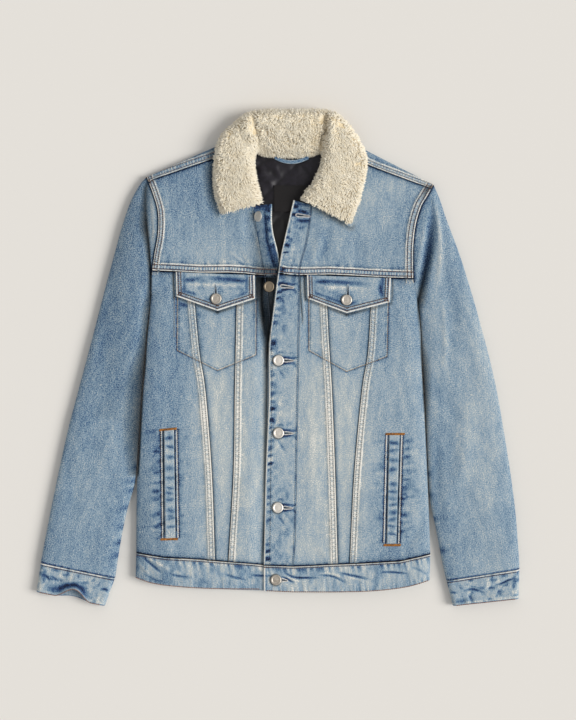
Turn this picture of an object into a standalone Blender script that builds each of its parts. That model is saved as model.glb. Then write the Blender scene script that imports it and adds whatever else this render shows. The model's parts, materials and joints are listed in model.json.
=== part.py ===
"""Denim trucker jacket with a sherpa collar, laid flat on its back.

Every cut piece is a solid of its own. Each one is a slab over a plan patch
between four seam lines, and two height fields give its upper and lower face.
Tables are in millimetres. Z = 0 is the surface the jacket lies on, +Y runs
towards the collar and +X towards the wearer's left.
"""

import math

import bpy
import numpy as np

MM = 0.001
CENTRE_Y = 1.5           # middle of the layout, which becomes y = 0

# Heights of the layers, from the surface up
BACK_WALL = 7.0          # back: denim, wadding and quilted lining
FRONT_UNDER = 10.0       # underside of the front layer
BODY_TOP = 17.0          # face of the front layer
FOLD_MID = 8.5           # height at which front and back meet at a fold
FOLD_REACH = 28.0        # how far in from a fold the front rounds over
BACK_REACH = 12.0        # how far in from a fold the back curls up
SIDE_WALL = 7.0          # wall of the tube at its folds
BAND_TOP = 12.9          # button band, lying under the placket
PLACKET_UNDER = 13.2
DIP_WIDTH = 25.0         # width over which the under front sinks to the band
WAIST_TOP = 15.5
LINING_TOP = 9.6
SEAM_GAP = 0.32          # between pieces that are sewn edge to edge
LAY_GAP = 0.3            # between pieces that lie on each other

FLAP_THICK = 2.7
WELT_THICK = 1.7
LABEL_THICK = 0.8
LOOP_THICK = 1.5
LOOP_WIDTH = 5.5

CUFF_HEIGHT = 14.0
CUFF_WALL = 5.5
CUFF_LIFT = 4.0          # rise of the upper layer at the wavy cuff mouth
CUFF_PULL = 13.0         # how far that wave draws the edge back

BUTTON_RADIUS = 8.5
BUTTON_SEGMENTS = 16

# Plan lines. _R is the wearer's right (at -X), _L the wearer's left (at +X).
# Columns: x, y
ARMHOLE_R = [(-205, 283), (-201.5, 274), (-194, 254), (-187, 228), (-187, 195),
             (-192.5, 163), (-196, 135), (-197.5, 118), (-198, 100)]
ARMHOLE_L = [(243, 271), (239.5, 264.5), (231, 250), (223, 236), (215, 209),
             (211, 174), (211, 127), (213.5, 112), (217, 95)]
ARMHOLE_YOKE_ROW = 6     # the row at the yoke seam
SIDE_R = [(-198, 100), (-201, 60), (-204, 34), (-208, -20), (-212, -65),
          (-216, -129), (-220, -200), (-221, -272), (-221, -303)]
SIDE_L = [(217, 95), (221, 60), (223, 34), (225, -20), (228, -65),
          (231, -129), (234, -200), (236, -249), (238, -306)]
HEM_CORNER_R = (-222, -342)
HEM_CORNER_L = (237, -346)

OUTER_R = [(-205, 283), (-216, 270), (-230, 244), (-242, 210), (-252, 174),
           (-268, 115), (-289, 34), (-314, -60), (-326, -105), (-342, -177),
           (-359, -260), (-370, -318)]
OUTER_L = [(243, 271), (253, 247), (263, 217), (277, 180), (290, 142),
           (314, 61), (338, -34), (355, -129), (369, -225), (375, -296),
           (377, -328)]
INNER_R = [(-198, 100), (-202.6, 60), (-205.6, 34), (-209.6, -20), (-213.6, -65),
           (-217.6, -129), (-220.6, -170), (-224.5, -200), (-235, -236),
           (-245, -284), (-254, -342)]
INNER_L = [(217, 95), (222.6, 60), (224.6, 34), (226.6, -20), (229.6, -65),
           (232.6, -129), (235.6, -200), (239.5, -232), (247, -268),
           (257, -320), (263, -346)]
CUFF_END_R = [(-377, -364), (-270, -386)]      # outer corner, inner corner
CUFF_END_L = [(376, -375), (273, -386)]

NECK_BACK = [(-60, 347), (-48, 331), (-36, 322), (-24, 318), (-12, 315),
             (20, 313), (45, 315), (60, 318), (72, 322), (86, 331), (98, 345)]
SHOULDER_SEAM_R = [(-201.5, 274), (-101, 308), (-64, 325)]
SHOULDER_SEAM_L = [(239.5, 264.5), (142, 303), (102, 325)]
NECK_FRONT_R = [(-37, 238), (-54, 270), (-62, 300), (-64, 325)]
NECK_FRONT_L = [(53, 239), (68, 250), (86, 272), (98, 300), (102, 325)]

BAND_SEAM_UP = [(-19, 126), (-21, 148), (-33, 215), (-37, 238)]
BAND_SEAM_DOWN = [(-11, -324), (-8, -65), (-8, 15), (-14, 91), (-19, 126)]
BAND_EDGE = [(11, -324), (14, -65), (11, 91), (3, 153), (-8, 202), (-9, 241)]
PLACKET_EDGE = [(-22, -324), (-19, -179), (-14, -60), (-14, 15), (-8, 69),
                (3, 151), (11, 190), (24, 247)]
PLACKET_SEAM_UP = [(34, 127.5), (36, 148), (45, 181), (52, 227), (53, 239)]
PLACKET_SEAM_DOWN = [(24, -325), (27, -274), (30, -115), (33, 44), (34, 127.5)]

# Corners of the yoke seam and the waist seam, from the side to the centre
YOKE_R = [(-196, 135), (-139, 131.5), (-58, 127), (-19, 126)]
YOKE_L = [(211, 127), (152, 125.5), (69, 128), (34, 127.5)]
WAIST_R = [(-221, -303), (-103, -319.5), (-72, -322), (-11, -324)]
WAIST_L = [(238, -306), (117, -322), (88, -324), (24, -325)]

# The slanting seams of the fronts, from the waist up
V_OUTER_R = [(-103, -319.5), (-108, -179), (-118, -51), (-128, 15), (-139, 131.5)]
V_INNER_R = [(-72, -322), (-64, -179), (-62, -51), (-60, 44), (-58, 127)]
V_INNER_L = [(88, -324), (84, -179), (79, -51), (74, 29), (69, 128)]
V_OUTER_L = [(117, -322), (124, -179), (136, -51), (146, 15), (152, 125.5)]

# Columns: inner x, inner y, outer x, outer y, underside, share of the stand
COLLAR = [
    (-24, 247, -88, 226, 17.3, 0.0),
    (-28, 268, -99, 255, 17.3, 0.0),
    (-33, 290, -102, 288, 17.3, 0.0),
    (-34, 305, -100, 318, 17.3, 0.0),
    (-34, 314, -93, 344, 17.3, 0.1),
    (-32, 321.2, -76, 364, 17.3, 0.4),
    (-24, 318.6, -44, 385, 0.0, 1.0),
    (-12, 315.6, -12, 389, 0.0, 1.0),
    (20, 313.6, 19, 388, 0.0, 1.0),
    (45, 315.6, 52, 388, 0.0, 1.0),
    (60, 318.6, 84, 385, 0.0, 1.0),
    (69, 321.6, 108, 369, 17.3, 0.4),
    (71, 314, 124, 348, 17.3, 0.1),
    (69, 305, 136, 325, 17.3, 0.0),
    (66, 297, 140, 305, 17.3, 0.0),
    (61, 285, 136, 275, 17.3, 0.0),
    (53, 270, 127, 245, 17.3, 0.0),
    (36, 251, 112, 211, 17.3, 0.0),
]
# Columns: share of the way from inner to outer edge, leaf height, stand height
COLLAR_PROFILE = [
    (0.00, 24.0, 13.0),
    (0.06, 31.0, 17.0),
    (0.20, 34.0, 23.0),
    (0.45, 33.0, 31.0),
    (0.75, 31.0, 37.0),
    (0.93, 28.0, 33.0),
    (1.00, 21.0, 22.0),
]

LINING_SIDE_R = [(-50, 110), (-50, 270), (-36, 300), (-36, 321)]
LINING_SIDE_L = [(60, 110), (80, 270), (76, 300), (72, 321)]
LABEL_BOX = (-6, 50, 229, 270)                 # x from, x to, y from, y to
LOOP_PATH = [(-4, 312), (8, 307.5), (21, 306), (34, 307.5), (47, 312)]

# Corners: upper side, lower side, point, lower centre, upper centre
FLAP_R = [(-159, 131), (-158, 98), (-94, 75), (-36, 94), (-36, 123)]
FLAP_L = [(45, 127.5), (45, 98), (113, 72), (174, 88), (176, 123)]
WELT_R = [(-182, -110), (-158, -109), (-156, -281), (-181, -282)]
WELT_L = [(170, -117), (196, -117), (189, -289), (167, -289)]

# Columns: x, y, height of what it is fixed to, tilt in degrees
BUTTONS = [
    (-30, 222, BAND_TOP, 32),
    (-14, 112, BAND_TOP, 0),
    (1, -3, BODY_TOP, 0),
    (1, -116, BODY_TOP, 0),
    (0, -232, BODY_TOP, 0),
    (-3, -345, WAIST_TOP, 0),
]
FLAP_BUTTONS = [(-96, 93), (107, 91)]

# Columns: radius share, height
BUTTON_PROFILE = [(0.62, 0.0), (0.94, 0.7), (1.0, 1.4), (0.94, 2.2),
                  (0.78, 2.5), (0.66, 2.1), (0.35, 2.5)]


def smooth(rows, steps):
    """Curve through the rows, with the same number of steps in each span."""
    p = np.array(rows, float)
    ends = np.vstack([2 * p[0] - p[1], p, 2 * p[-1] - p[-2]])
    t = np.linspace(0, 1, steps, endpoint=False)[:, None]
    spans = []
    for a, b, c, d in zip(ends[:-3], ends[1:-2], ends[2:-1], ends[3:]):
        spans.append(0.5 * (2 * b + (c - a) * t + (2 * a - 5 * b + 4 * c - d) * t ** 2
                            + (3 * b - a - 3 * c + d) * t ** 3))
    return np.vstack(spans + [p[-1:]])


def even(points, count):
    """The same line with its points at equal steps along it."""
    p = np.asarray(points, float)
    run = np.append(0, np.cumsum(np.linalg.norm(np.diff(p, axis=0), axis=1)))
    at = np.linspace(0, run[-1], count)
    return np.stack([np.interp(at, run, p[:, 0]), np.interp(at, run, p[:, 1])], 1)


def straight(a, b, count):
    """Points at equal steps from a to b."""
    t = np.linspace(0, 1, count)[:, None]
    return (1 - t) * np.array(a, float) + t * np.array(b, float)


def chain(*lines):
    """Lines joined end to end, with each shared point kept once."""
    return np.vstack([lines[0]] + [line[1:] for line in lines[1:]])


def at_shares(line, wanted):
    """Points of the line at the given shares of its length."""
    run = shares(line)
    return np.stack([np.interp(wanted, run, line[:, 0]), np.interp(wanted, run, line[:, 1])], 1)


def shares(line):
    """How far along the line each of its points is, from 0 to 1."""
    run = np.append(0, np.cumsum(np.linalg.norm(np.diff(line, axis=0), axis=1)))
    return run / run[-1]


def eased(a, b, count, ends=(True, True)):
    """Points from a to b that crowd towards the ends that are folds."""
    t = np.linspace(0, 1, count)
    if ends[0] and ends[1]:
        t = 0.5 - 0.5 * np.cos(math.pi * t)
        t = t - 0.1 * np.sin(2 * math.pi * t) / (2 * math.pi)
    elif ends[0]:
        t = t ** 1.9
    return (1 - t)[:, None] * np.array(a, float) + t[:, None] * np.array(b, float)


def patch(bottom, top, left, right):
    """Grid of plan points between four edges, drawn in by half a seam gap."""
    u = shares(bottom)[None, :, None]
    v = shares(left)[:, None, None]
    across = (1 - v) * bottom[None] + v * top[None]
    along = (1 - u) * left[:, None] + u * right[:, None]
    corners = ((1 - u) * (1 - v) * bottom[0] + u * (1 - v) * bottom[-1]
               + (1 - u) * v * top[0] + u * v * top[-1])
    return draw_in(across + along - corners)


def draw_in(grid):
    """Each rim row moved half a seam gap towards the row inside it."""
    moved = grid.copy()
    for rim, inside in ((0, 1), (-1, -2)):
        for step in ((rim, inside), None):
            if step:
                way = grid[inside] - grid[rim]
                size = np.linalg.norm(way, axis=1, keepdims=True)
                moved[rim] += 0.5 * SEAM_GAP * way / np.maximum(size, 1e-6)
            else:
                way = grid[:, inside] - grid[:, rim]
                size = np.linalg.norm(way, axis=1, keepdims=True)
                moved[:, rim] += 0.5 * SEAM_GAP * way / np.maximum(size, 1e-6)
    return moved


def distance(grid, lines):
    """Shortest plan distance from each grid point to the given lines."""
    best = np.full(grid.shape[:2], 1e9)
    for line in lines:
        p = np.asarray(line, float)
        for a, b in zip(p[:-1], p[1:]):
            run = b - a
            t = np.clip(((grid - a) @ run) / (run @ run), 0, 1)
            gap = np.linalg.norm(grid - a - t[..., None] * run, axis=2)
            best = np.minimum(best, gap)
    return best


def rise(d, reach):
    """Quarter-ellipse share, from 0 at the fold to 1 at the reach."""
    return np.sqrt(np.clip(1 - (1 - np.clip(d / reach, 0, 1)) ** 2, 0, 1))


def front_top(d):
    return FOLD_MID + 1 + (BODY_TOP - FOLD_MID - 1) * rise(d, FOLD_REACH)


def front_under(d):
    inward = rise(d - SIDE_WALL, FOLD_REACH - SIDE_WALL)
    return FOLD_MID + (FRONT_UNDER - FOLD_MID) * np.where(d < SIDE_WALL, 0, inward)


def back_top(d):
    seat = FOLD_MID - LAY_GAP
    inward = rise(d - SIDE_WALL, FOLD_REACH - SIDE_WALL)
    return seat - (seat - BACK_WALL) * np.where(d < SIDE_WALL, 0, inward)


def back_under(d):
    return (FOLD_MID - LAY_GAP - 1) * (1 - rise(d, BACK_REACH))


def dip(grid):
    """Share by which the under front has sunk to the level of the band."""
    up = BAND_SEAM_DOWN + BAND_SEAM_UP[1:]
    seam = np.interp(grid[..., 1], [p[1] for p in up], [p[0] for p in up])
    edge_rows = PLACKET_EDGE[:6] + [(40, 200)]
    edge = np.interp(grid[..., 1], [p[1] for p in edge_rows], [p[0] for p in edge_rows])
    t = np.clip((grid[..., 0] - np.minimum(seam, edge) + 1) / DIP_WIDTH + 1, 0, 1)
    return t * t * (3 - 2 * t)


def material(name, colour, roughness, metallic=0.0):
    made = bpy.data.materials.new(name)
    made.use_nodes = True
    shader = made.node_tree.nodes["Principled BSDF"]
    shader.inputs["Base Color"].default_value = (*colour, 1.0)
    shader.inputs["Roughness"].default_value = roughness
    shader.inputs["Metallic"].default_value = metallic
    made.diffuse_color = (*colour, 1.0)
    return made


def solid(name, points, faces, slot):
    mesh = bpy.data.meshes.new(name)
    placed = (np.asarray(points, float) - (0.0, CENTRE_Y, 0.0)) * MM
    mesh.from_pydata(placed.tolist(), [], faces)
    mesh.materials.append(SLOTS[slot])
    mesh.validate()
    made = bpy.data.objects.new(name, mesh)
    bpy.context.scene.collection.objects.link(made)
    return made


def slab(name, grid, top, under, slot="denim"):
    """Closed solid between two height fields over one grid."""
    rows, columns = grid.shape[:2]
    top = np.broadcast_to(top, (rows, columns))
    under = np.broadcast_to(under, (rows, columns))
    upper = np.dstack([grid, top]).reshape(-1, 3)
    lower = np.dstack([grid, under]).reshape(-1, 3)
    size = rows * columns
    faces = []
    for i in range(rows - 1):
        for j in range(columns - 1):
            a = i * columns + j
            ring = [a, a + 1, a + columns + 1, a + columns]
            faces.append(ring)
            faces.append([size + k for k in reversed(ring)])
    rim = [j for j in range(columns)]
    rim += [i * columns + columns - 1 for i in range(1, rows)]
    rim += [(rows - 1) * columns + j for j in range(columns - 2, -1, -1)]
    rim += [i * columns for i in range(rows - 2, 0, -1)]
    for a, b in zip(rim, rim[1:] + rim[:1]):
        faces.append([b, a, size + a, size + b])
    edge = grid.reshape(-1, 2)[rim]
    ahead = np.roll(edge, -1, axis=0)
    if np.sum(edge[:, 0] * ahead[:, 1] - edge[:, 1] * ahead[:, 0]) < 0:
        faces = [face[::-1] for face in faces]
    return solid(name, np.vstack([upper, lower]), faces, slot)


def front_panel(name, grid, folds, sinks=False):
    d = distance(grid, folds)
    top = front_top(d)
    if sinks:
        top = top - (BODY_TOP - BAND_TOP) * dip(grid)
    return slab(name, grid, top, front_under(d))


def back_panel(name, grid, folds):
    d = distance(grid, folds)
    return slab(name, grid, back_top(d), back_under(d))


def seam_part(corners, k):
    """The stretch of a cross seam above or below one panel."""
    if k == 0:
        return eased(corners[0], corners[1], 8, (True, False))
    return straight(corners[k], corners[k + 1], (4, 5)[k - 1])


def front(side, armhole, body_side, yoke, waist, v_outer, v_inner, centre_down,
          centre_up, neck_front, shoulder_seam, folds, sinks):
    """The yoke and the three lower panels of one front."""
    hole = smooth(armhole, 2)
    split = 2 * ARMHOLE_YOKE_ROW
    side_line = chain(even(smooth(body_side, 4)[::-1], 13), hole[split:][::-1])
    lines = [side_line]
    for rows in (v_outer, v_inner, centre_down):
        lines.append(even(smooth(rows, 4), len(side_line)))
    for k, part in enumerate(("side", "mid", "centre")):
        bottom = seam_part(waist, k)
        top = seam_part(yoke, k)
        grid = patch(bottom, top, lines[k], lines[k + 1])
        front_panel("front_%s_%s" % (part, side), grid, folds, sinks)
    seam = chain(*[seam_part(yoke, k) for k in range(3)])
    shoulder_end = hole[2:split + 1][::-1]
    centre = chain(even(smooth(centre_up, 4), 6), even(smooth(neck_front, 4), 6))
    grid = patch(seam, even(smooth(shoulder_seam, 6), len(seam)), shoulder_end, centre)
    front_panel("front_yoke_" + side, grid, folds, sinks)
    return lines[3], centre[:6], lines[0]


def sleeve(side, armhole, outer, inner, folds):
    """The upper and under panel of one sleeve, both from the same plan."""
    hole = smooth(armhole, 2)
    below = even(smooth(inner, 4), 15)
    inner_line = chain(hole, below)
    along = shares(inner_line)
    # The head of the sleeve is short outside and long inside, so it is eased
    head = along[len(hole) - 1]
    start = OUTER_UNDERARM[side]
    at = np.where(along <= head, start * (along / head) ** 1.15,
                  start + (1 - start) * (along - head) / (1 - head))
    outer_line = at_shares(smooth(outer, 6), at)
    outer_line[0] += np.array([-1.5, 2.0]) if side == "r" else np.array([1.5, 2.0])
    share = np.array([0, 0.05, 0.13, 0.26, 0.5, 0.74, 0.87, 0.95, 1.0])[None, :, None]
    grid = (1 - share) * outer_line[:, None] + share * inner_line[:, None]
    grid = draw_in(grid)
    front_panel("sleeve_top_" + side, grid, folds)
    back_panel("sleeve_under_" + side, grid, folds)


def racetrack(width, height, inset, lift):
    """Flattened ring in its own plane: across, up, and share of the wave."""
    radius = height / 2 - inset
    middle = height / 2
    ring = []
    for share in np.linspace(0, 1, 7):
        bump = math.sin(math.pi * min(max((share - 0.1) / 0.8, 0), 1)) ** 2
        x = height / 2 + share * (width - height)
        ring.append((x, middle + radius + lift * bump, bump))
    for angle in (60, 30, 0, -30, -60):
        a = math.radians(angle)
        ring.append((width - height / 2 + radius * math.cos(a), middle + radius * math.sin(a), 0))
    for share in np.linspace(1, 0, 7):
        ring.append((height / 2 + share * (width - height), middle - radius, 0))
    for angle in (240, 210, 180, 150, 120):
        a = math.radians(angle)
        ring.append((height / 2 + radius * math.cos(a), middle + radius * math.sin(a), 0))
    return np.array(ring)


def cuff(side, seam_outer, seam_inner, end, lift, pull):
    """A flattened tube with an open mouth."""
    start = np.array([seam_outer, seam_inner], float)
    stop = np.array(end, float)
    along = (stop - start).mean(axis=0)
    along /= np.linalg.norm(along)
    start += along * SEAM_GAP
    loops = []
    for inset in (0.0, CUFF_WALL):
        for t in (0.0, 0.35, 0.7, 1.0):
            a, b = (1 - t) * start + t * stop
            way = b - a
            width = np.linalg.norm(way)
            ring = racetrack(width, CUFF_HEIGHT, inset, lift * t * t)
            plan = a + (ring[:, :1] / width) * way
            plan -= along * (pull * t * t * ring[:, 2:3])
            loops.append(np.column_stack([plan, ring[:, 1]]))
    count = len(loops[0])
    faces = []
    for k in range(3):
        for i in range(count):
            j = (i + 1) % count
            a, b = k * count + i, k * count + j
            faces.append([a, b, b + count, a + count])
            a, b = a + 4 * count, b + 4 * count
            faces.append([b, a, a + count, b + count])
    for i in range(count):
        j = (i + 1) % count
        faces.append([j, i, 4 * count + i, 4 * count + j])
        a, b = 3 * count + i, 3 * count + j
        faces.append([a, b, b + 4 * count, a + 4 * count])
    if side == "r":
        faces = [face[::-1] for face in faces]
    return solid("cuff_" + side, np.vstack(loops), faces, "denim")


def collar():
    """Pile collar: the stand at the back and a leaf over each front."""
    table = np.array(COLLAR, float)
    plan = np.hstack([smooth(table[:, 0:2], 2), smooth(table[:, 2:4], 2)])
    at = np.linspace(0, len(table) - 1, len(plan))
    rest = [np.interp(at, np.arange(len(table)), table[:, k]) for k in (4, 5)]
    rows = np.column_stack([plan] + rest)
    profile = np.array(COLLAR_PROFILE, float)
    share = profile[:, 0][None, :, None]
    grid = (1 - share) * rows[:, None, 0:2] + share * rows[:, None, 2:4]
    weight = rows[:, 5:6]
    top = (1 - weight) * profile[:, 1][None] + weight * profile[:, 2][None]
    return slab("collar", grid, top, rows[:, 4:5], "sherpa")


def button(name, x, y, base, tilt, slot="button_metal"):
    """A turned tack button with a raised rim and a slightly domed middle."""
    rings = []
    turn = np.linspace(0, 2 * math.pi, BUTTON_SEGMENTS, endpoint=False)
    for share, height in BUTTON_PROFILE:
        radius = share * BUTTON_RADIUS
        rings.append(np.stack([radius * np.cos(turn), radius * np.sin(turn),
                               np.full(len(turn), height)], 1))
    points = np.vstack(rings)
    lean = math.radians(tilt)
    across, up = points[:, 0].copy(), points[:, 2].copy()
    points[:, 0] = across * math.cos(lean) + up * math.sin(lean)
    points[:, 2] = up * math.cos(lean) - across * math.sin(lean)
    points[:, 2] += base + LAY_GAP - points[:, 2].min()
    points[:, 0] += x
    points[:, 1] += y
    count = BUTTON_SEGMENTS
    faces = [list(range(count))[::-1]]
    for k in range(len(rings) - 1):
        for i in range(count):
            j = (i + 1) % count
            faces.append([k * count + i, k * count + j, (k + 1) * count + j, (k + 1) * count + i])
    faces.append([(len(rings) - 1) * count + i for i in range(count)])
    return solid(name, points, faces, slot)


def quad_grid(corners, columns, rows):
    """Plain grid in a four-cornered outline: upper left, upper right, lower right, lower left."""
    a, b, c, d = [np.array(p, float) for p in corners]
    u = np.linspace(0, 1, columns)[None, :, None]
    v = np.linspace(0, 1, rows)[:, None, None]
    return (1 - v) * ((1 - u) * d + u * c) + v * ((1 - u) * a + u * b)


for old in list(bpy.data.objects):
    bpy.data.objects.remove(old)

SLOTS = {
    "denim": material("denim", (0.33, 0.45, 0.58), 0.9),
    "sherpa": material("sherpa", (0.78, 0.71, 0.58), 1.0),
    "lining": material("lining", (0.02, 0.02, 0.035), 0.6),
    "label": material("label", (0.02, 0.015, 0.012), 0.7),
    "button_metal": material("button_metal", (0.75, 0.73, 0.69), 0.35, 1.0),
}

# Share of the sleeve's outer edge that lies above the underarm
OUTER_UNDERARM = {"r": 0.30, "l": 0.33}

shoulder_r = [ARMHOLE_R[0], NECK_BACK[0]]
shoulder_l = [ARMHOLE_L[0], NECK_BACK[-1]]
side_r, side_l = smooth(SIDE_R, 4), smooth(SIDE_L, 4)
outer_r, outer_l = smooth(OUTER_R, 4), smooth(OUTER_L, 4)
inner_r, inner_l = smooth(INNER_R, 4), smooth(INNER_L, 4)
hem_side_r = [SIDE_R[-1], HEM_CORNER_R]
hem_side_l = [SIDE_L[-1], HEM_CORNER_L]
body_folds = [shoulder_r, shoulder_l, side_r, side_l, outer_r, outer_l, hem_side_r, hem_side_l]
sleeve_folds = {"r": [shoulder_r, outer_r, inner_r], "l": [shoulder_l, outer_l, inner_l]}

# Fronts
down_r, up_r, side_line_r = front("r", ARMHOLE_R, SIDE_R, YOKE_R, WAIST_R, V_OUTER_R, V_INNER_R,
                                  BAND_SEAM_DOWN, BAND_SEAM_UP, NECK_FRONT_R, SHOULDER_SEAM_R,
                                  body_folds, True)
down_l, up_l, side_line_l = front("l", ARMHOLE_L, SIDE_L, YOKE_L, WAIST_L, V_OUTER_L, V_INNER_L,
                                  PLACKET_SEAM_DOWN, PLACKET_SEAM_UP, NECK_FRONT_L,
                                  SHOULDER_SEAM_L, body_folds, False)

# Button band under the placket, and the placket itself
band_left = chain(down_r, up_r)
band_right = even(smooth(BAND_EDGE, 4), len(band_left))
band = patch(straight(band_left[0], band_right[0], 3), straight(band_left[-1], band_right[-1], 3),
             band_left, band_right)
slab("button_band", band, BAND_TOP, FRONT_UNDER)

placket_right = chain(down_l, up_l)
placket_left = even(smooth(PLACKET_EDGE, 4), len(placket_right))
strip = patch(straight(placket_left[0], placket_right[0], 4),
              straight(placket_left[-1], placket_right[-1], 4), placket_left, placket_right)
slab("placket", strip, BODY_TOP, PLACKET_UNDER)

# Waistband: two fronts, the wearer's left over the right, and the back
waist_seam_r = chain(*[seam_part(WAIST_R, k) for k in range(3)],
                     straight(WAIST_R[3], BAND_EDGE[0], 3))
hem_r = smooth([HEM_CORNER_R, (-187, -352), (-121, -358), (-28, -360), (11, -361)], 8)
hem_r = at_shares(hem_r, shares(waist_seam_r))
grid = patch(hem_r, waist_seam_r, straight(HEM_CORNER_R, WAIST_R[0], 3),
             straight(hem_r[-1], waist_seam_r[-1], 3))
depth = distance(grid, body_folds)
drop = (WAIST_TOP - 12.4) * np.clip((grid[..., 0] + 66) / 26, 0, 1)
slab("waistband_front_r", grid, np.minimum(front_top(depth), WAIST_TOP) - drop,
     np.minimum(front_under(depth), 9.7))

waist_seam_l = chain(straight(PLACKET_EDGE[0], WAIST_L[3], 5),
                     *[seam_part(WAIST_L, k)[::-1] for k in (2, 1, 0)])
hem_l = smooth([(24, -364), (97, -364), (154, -362), (201, -356), HEM_CORNER_L], 8)
hem_l = chain(straight((-22, -362), (24, -364), 5),
              at_shares(hem_l, shares(waist_seam_l[4:])))
grid = patch(hem_l, waist_seam_l, straight(hem_l[0], waist_seam_l[0], 3),
             straight(HEM_CORNER_L, WAIST_L[0], 3))
depth = distance(grid, body_folds)
over = 12.7 - (12.7 - 10.0) * np.clip((grid[..., 0] - 13) / 6, 0, 1)
slab("waistband_front_l", grid, np.minimum(front_top(depth), WAIST_TOP),
     np.where(depth < FOLD_REACH, front_under(depth), over))

# Back: yoke, panel and waistband, lying on the surface
yoke_back = straight(YOKE_R[0], YOKE_L[0], 19)
waist_back = eased(WAIST_R[0], WAIST_L[0], 17)
hem_back = smooth([HEM_CORNER_R, (-187, -352), (-90, -360), (20, -363), (110, -362),
                   (201, -356), HEM_CORNER_L], 8)
hem_back = at_shares(hem_back, shares(waist_back))
back_panel("back_panel", patch(waist_back, eased(YOKE_R[0], YOKE_L[0], 17),
                               side_line_r, side_line_l), body_folds)
back_panel("waistband_back", patch(hem_back, waist_back,
                                   straight(HEM_CORNER_R, WAIST_R[0], 3),
                                   straight(HEM_CORNER_L, WAIST_L[0], 3)), body_folds)

hole_r = smooth(ARMHOLE_R, 2)[:2 * ARMHOLE_YOKE_ROW + 1][::-1]
hole_l = smooth(ARMHOLE_L, 2)[:2 * ARMHOLE_YOKE_ROW + 1][::-1]
ridge = chain(straight(ARMHOLE_R[0], NECK_BACK[0], 5), np.array(NECK_BACK, float),
              straight(NECK_BACK[-1], ARMHOLE_L[0], 5))
yoke = back_panel("back_yoke", patch(yoke_back, ridge, hole_r, hole_l), body_folds)

# The yoke runs over each shoulder to a seam on the front
for side, fold, seam in (("r", shoulder_r, SHOULDER_SEAM_R), ("l", shoulder_l, SHOULDER_SEAM_L)):
    upper = straight(fold[0], fold[1], 15)
    lower = even(smooth(seam, 6), 15)
    count = 5
    grid = patch(lower, upper, straight(lower[0], upper[0], count),
                 straight(lower[-1], upper[-1], count))
    d = distance(grid, body_folds)
    under = np.where(d < SIDE_WALL - 1.0, FOLD_MID - 2.0, front_under(d))
    strip = slab("shoulder_" + side, grid, front_top(d), under)
    strip.hide_render = True
    strip.display_type = "WIRE"
    join = yoke.modifiers.new("over_shoulder_" + side, "BOOLEAN")
    join.operation = "UNION"
    join.solver = "EXACT"
    join.object = strip

# Sleeves and cuffs
sleeve("r", ARMHOLE_R, OUTER_R, INNER_R, sleeve_folds["r"])
sleeve("l", ARMHOLE_L, OUTER_L, INNER_L, sleeve_folds["l"])
cuff("r", OUTER_R[-1], INNER_R[-1], CUFF_END_R, CUFF_LIFT, CUFF_PULL)
cuff("l", OUTER_L[-1], INNER_L[-1], CUFF_END_L, 0.0, 0.0)

# Neck: collar, lining, label and hanger loop
collar()
neckline = np.array(NECK_BACK[2:9], float) - (0, 1)
grid = patch(straight(LINING_SIDE_R[0], LINING_SIDE_L[0], len(neckline)), neckline,
             even(LINING_SIDE_R, 8), even(LINING_SIDE_L, 8))
slab("lining_back", grid, LINING_TOP, BACK_WALL + LAY_GAP, "lining")
x0, x1, y0, y1 = LABEL_BOX
grid = quad_grid([(x0, y1), (x1, y1), (x1, y0), (x0, y0)], 4, 3)
slab("neck_label", grid, LINING_TOP + LAY_GAP + LABEL_THICK, LINING_TOP + LAY_GAP, "label")
path = smooth(LOOP_PATH, 3)
half = np.array([0, LOOP_WIDTH / 2])
grid = np.stack([path - half, path + half])
slab("hanger_loop", grid, LINING_TOP + LAY_GAP + LOOP_THICK, LINING_TOP + LAY_GAP, "denim")

# Pocket flaps and welts lie on the fronts
for side, (a, b, c, d, e) in (("r", FLAP_R), ("l", FLAP_L)):
    lower = chain(straight(b, c, 4), straight(c, d, 4))
    grid = patch(lower, straight(a, e, 7), straight(b, a, 3), straight(d, e, 3))
    slab("flap_" + side, grid, BODY_TOP + LAY_GAP + FLAP_THICK, BODY_TOP + LAY_GAP)
for side, corners in (("r", WELT_R), ("l", WELT_L)):
    slab("welt_" + side, quad_grid(corners, 3, 7), BODY_TOP + LAY_GAP + WELT_THICK,
         BODY_TOP + LAY_GAP)

# Buttons
for number, (x, y, base, tilt) in enumerate(BUTTONS, 1):
    button("button_%d" % number, x, y, base, tilt)
for side, (x, y) in zip("rl", FLAP_BUTTONS):
    button("flap_button_" + side, x, y, BODY_TOP + LAY_GAP + FLAP_THICK, 0)
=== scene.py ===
# %% [markdown]
# # A denim trucker jacket with a sherpa collar, laid flat
#
# The jacket lies on its back on a pale floor and is seen from straight above. Its panels, collar,
# buttons and neck are surfaces worked out with numpy on the plan of the garment: every seam is a
# line on the floor plan, every panel is stretched between four such lines, and one height
# function says how far the cloth stands above the floor at each point.

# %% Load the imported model
import json
import math

import bpy
import numpy as np
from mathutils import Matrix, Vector
from mathutils.bvhtree import BVHTree

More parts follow.
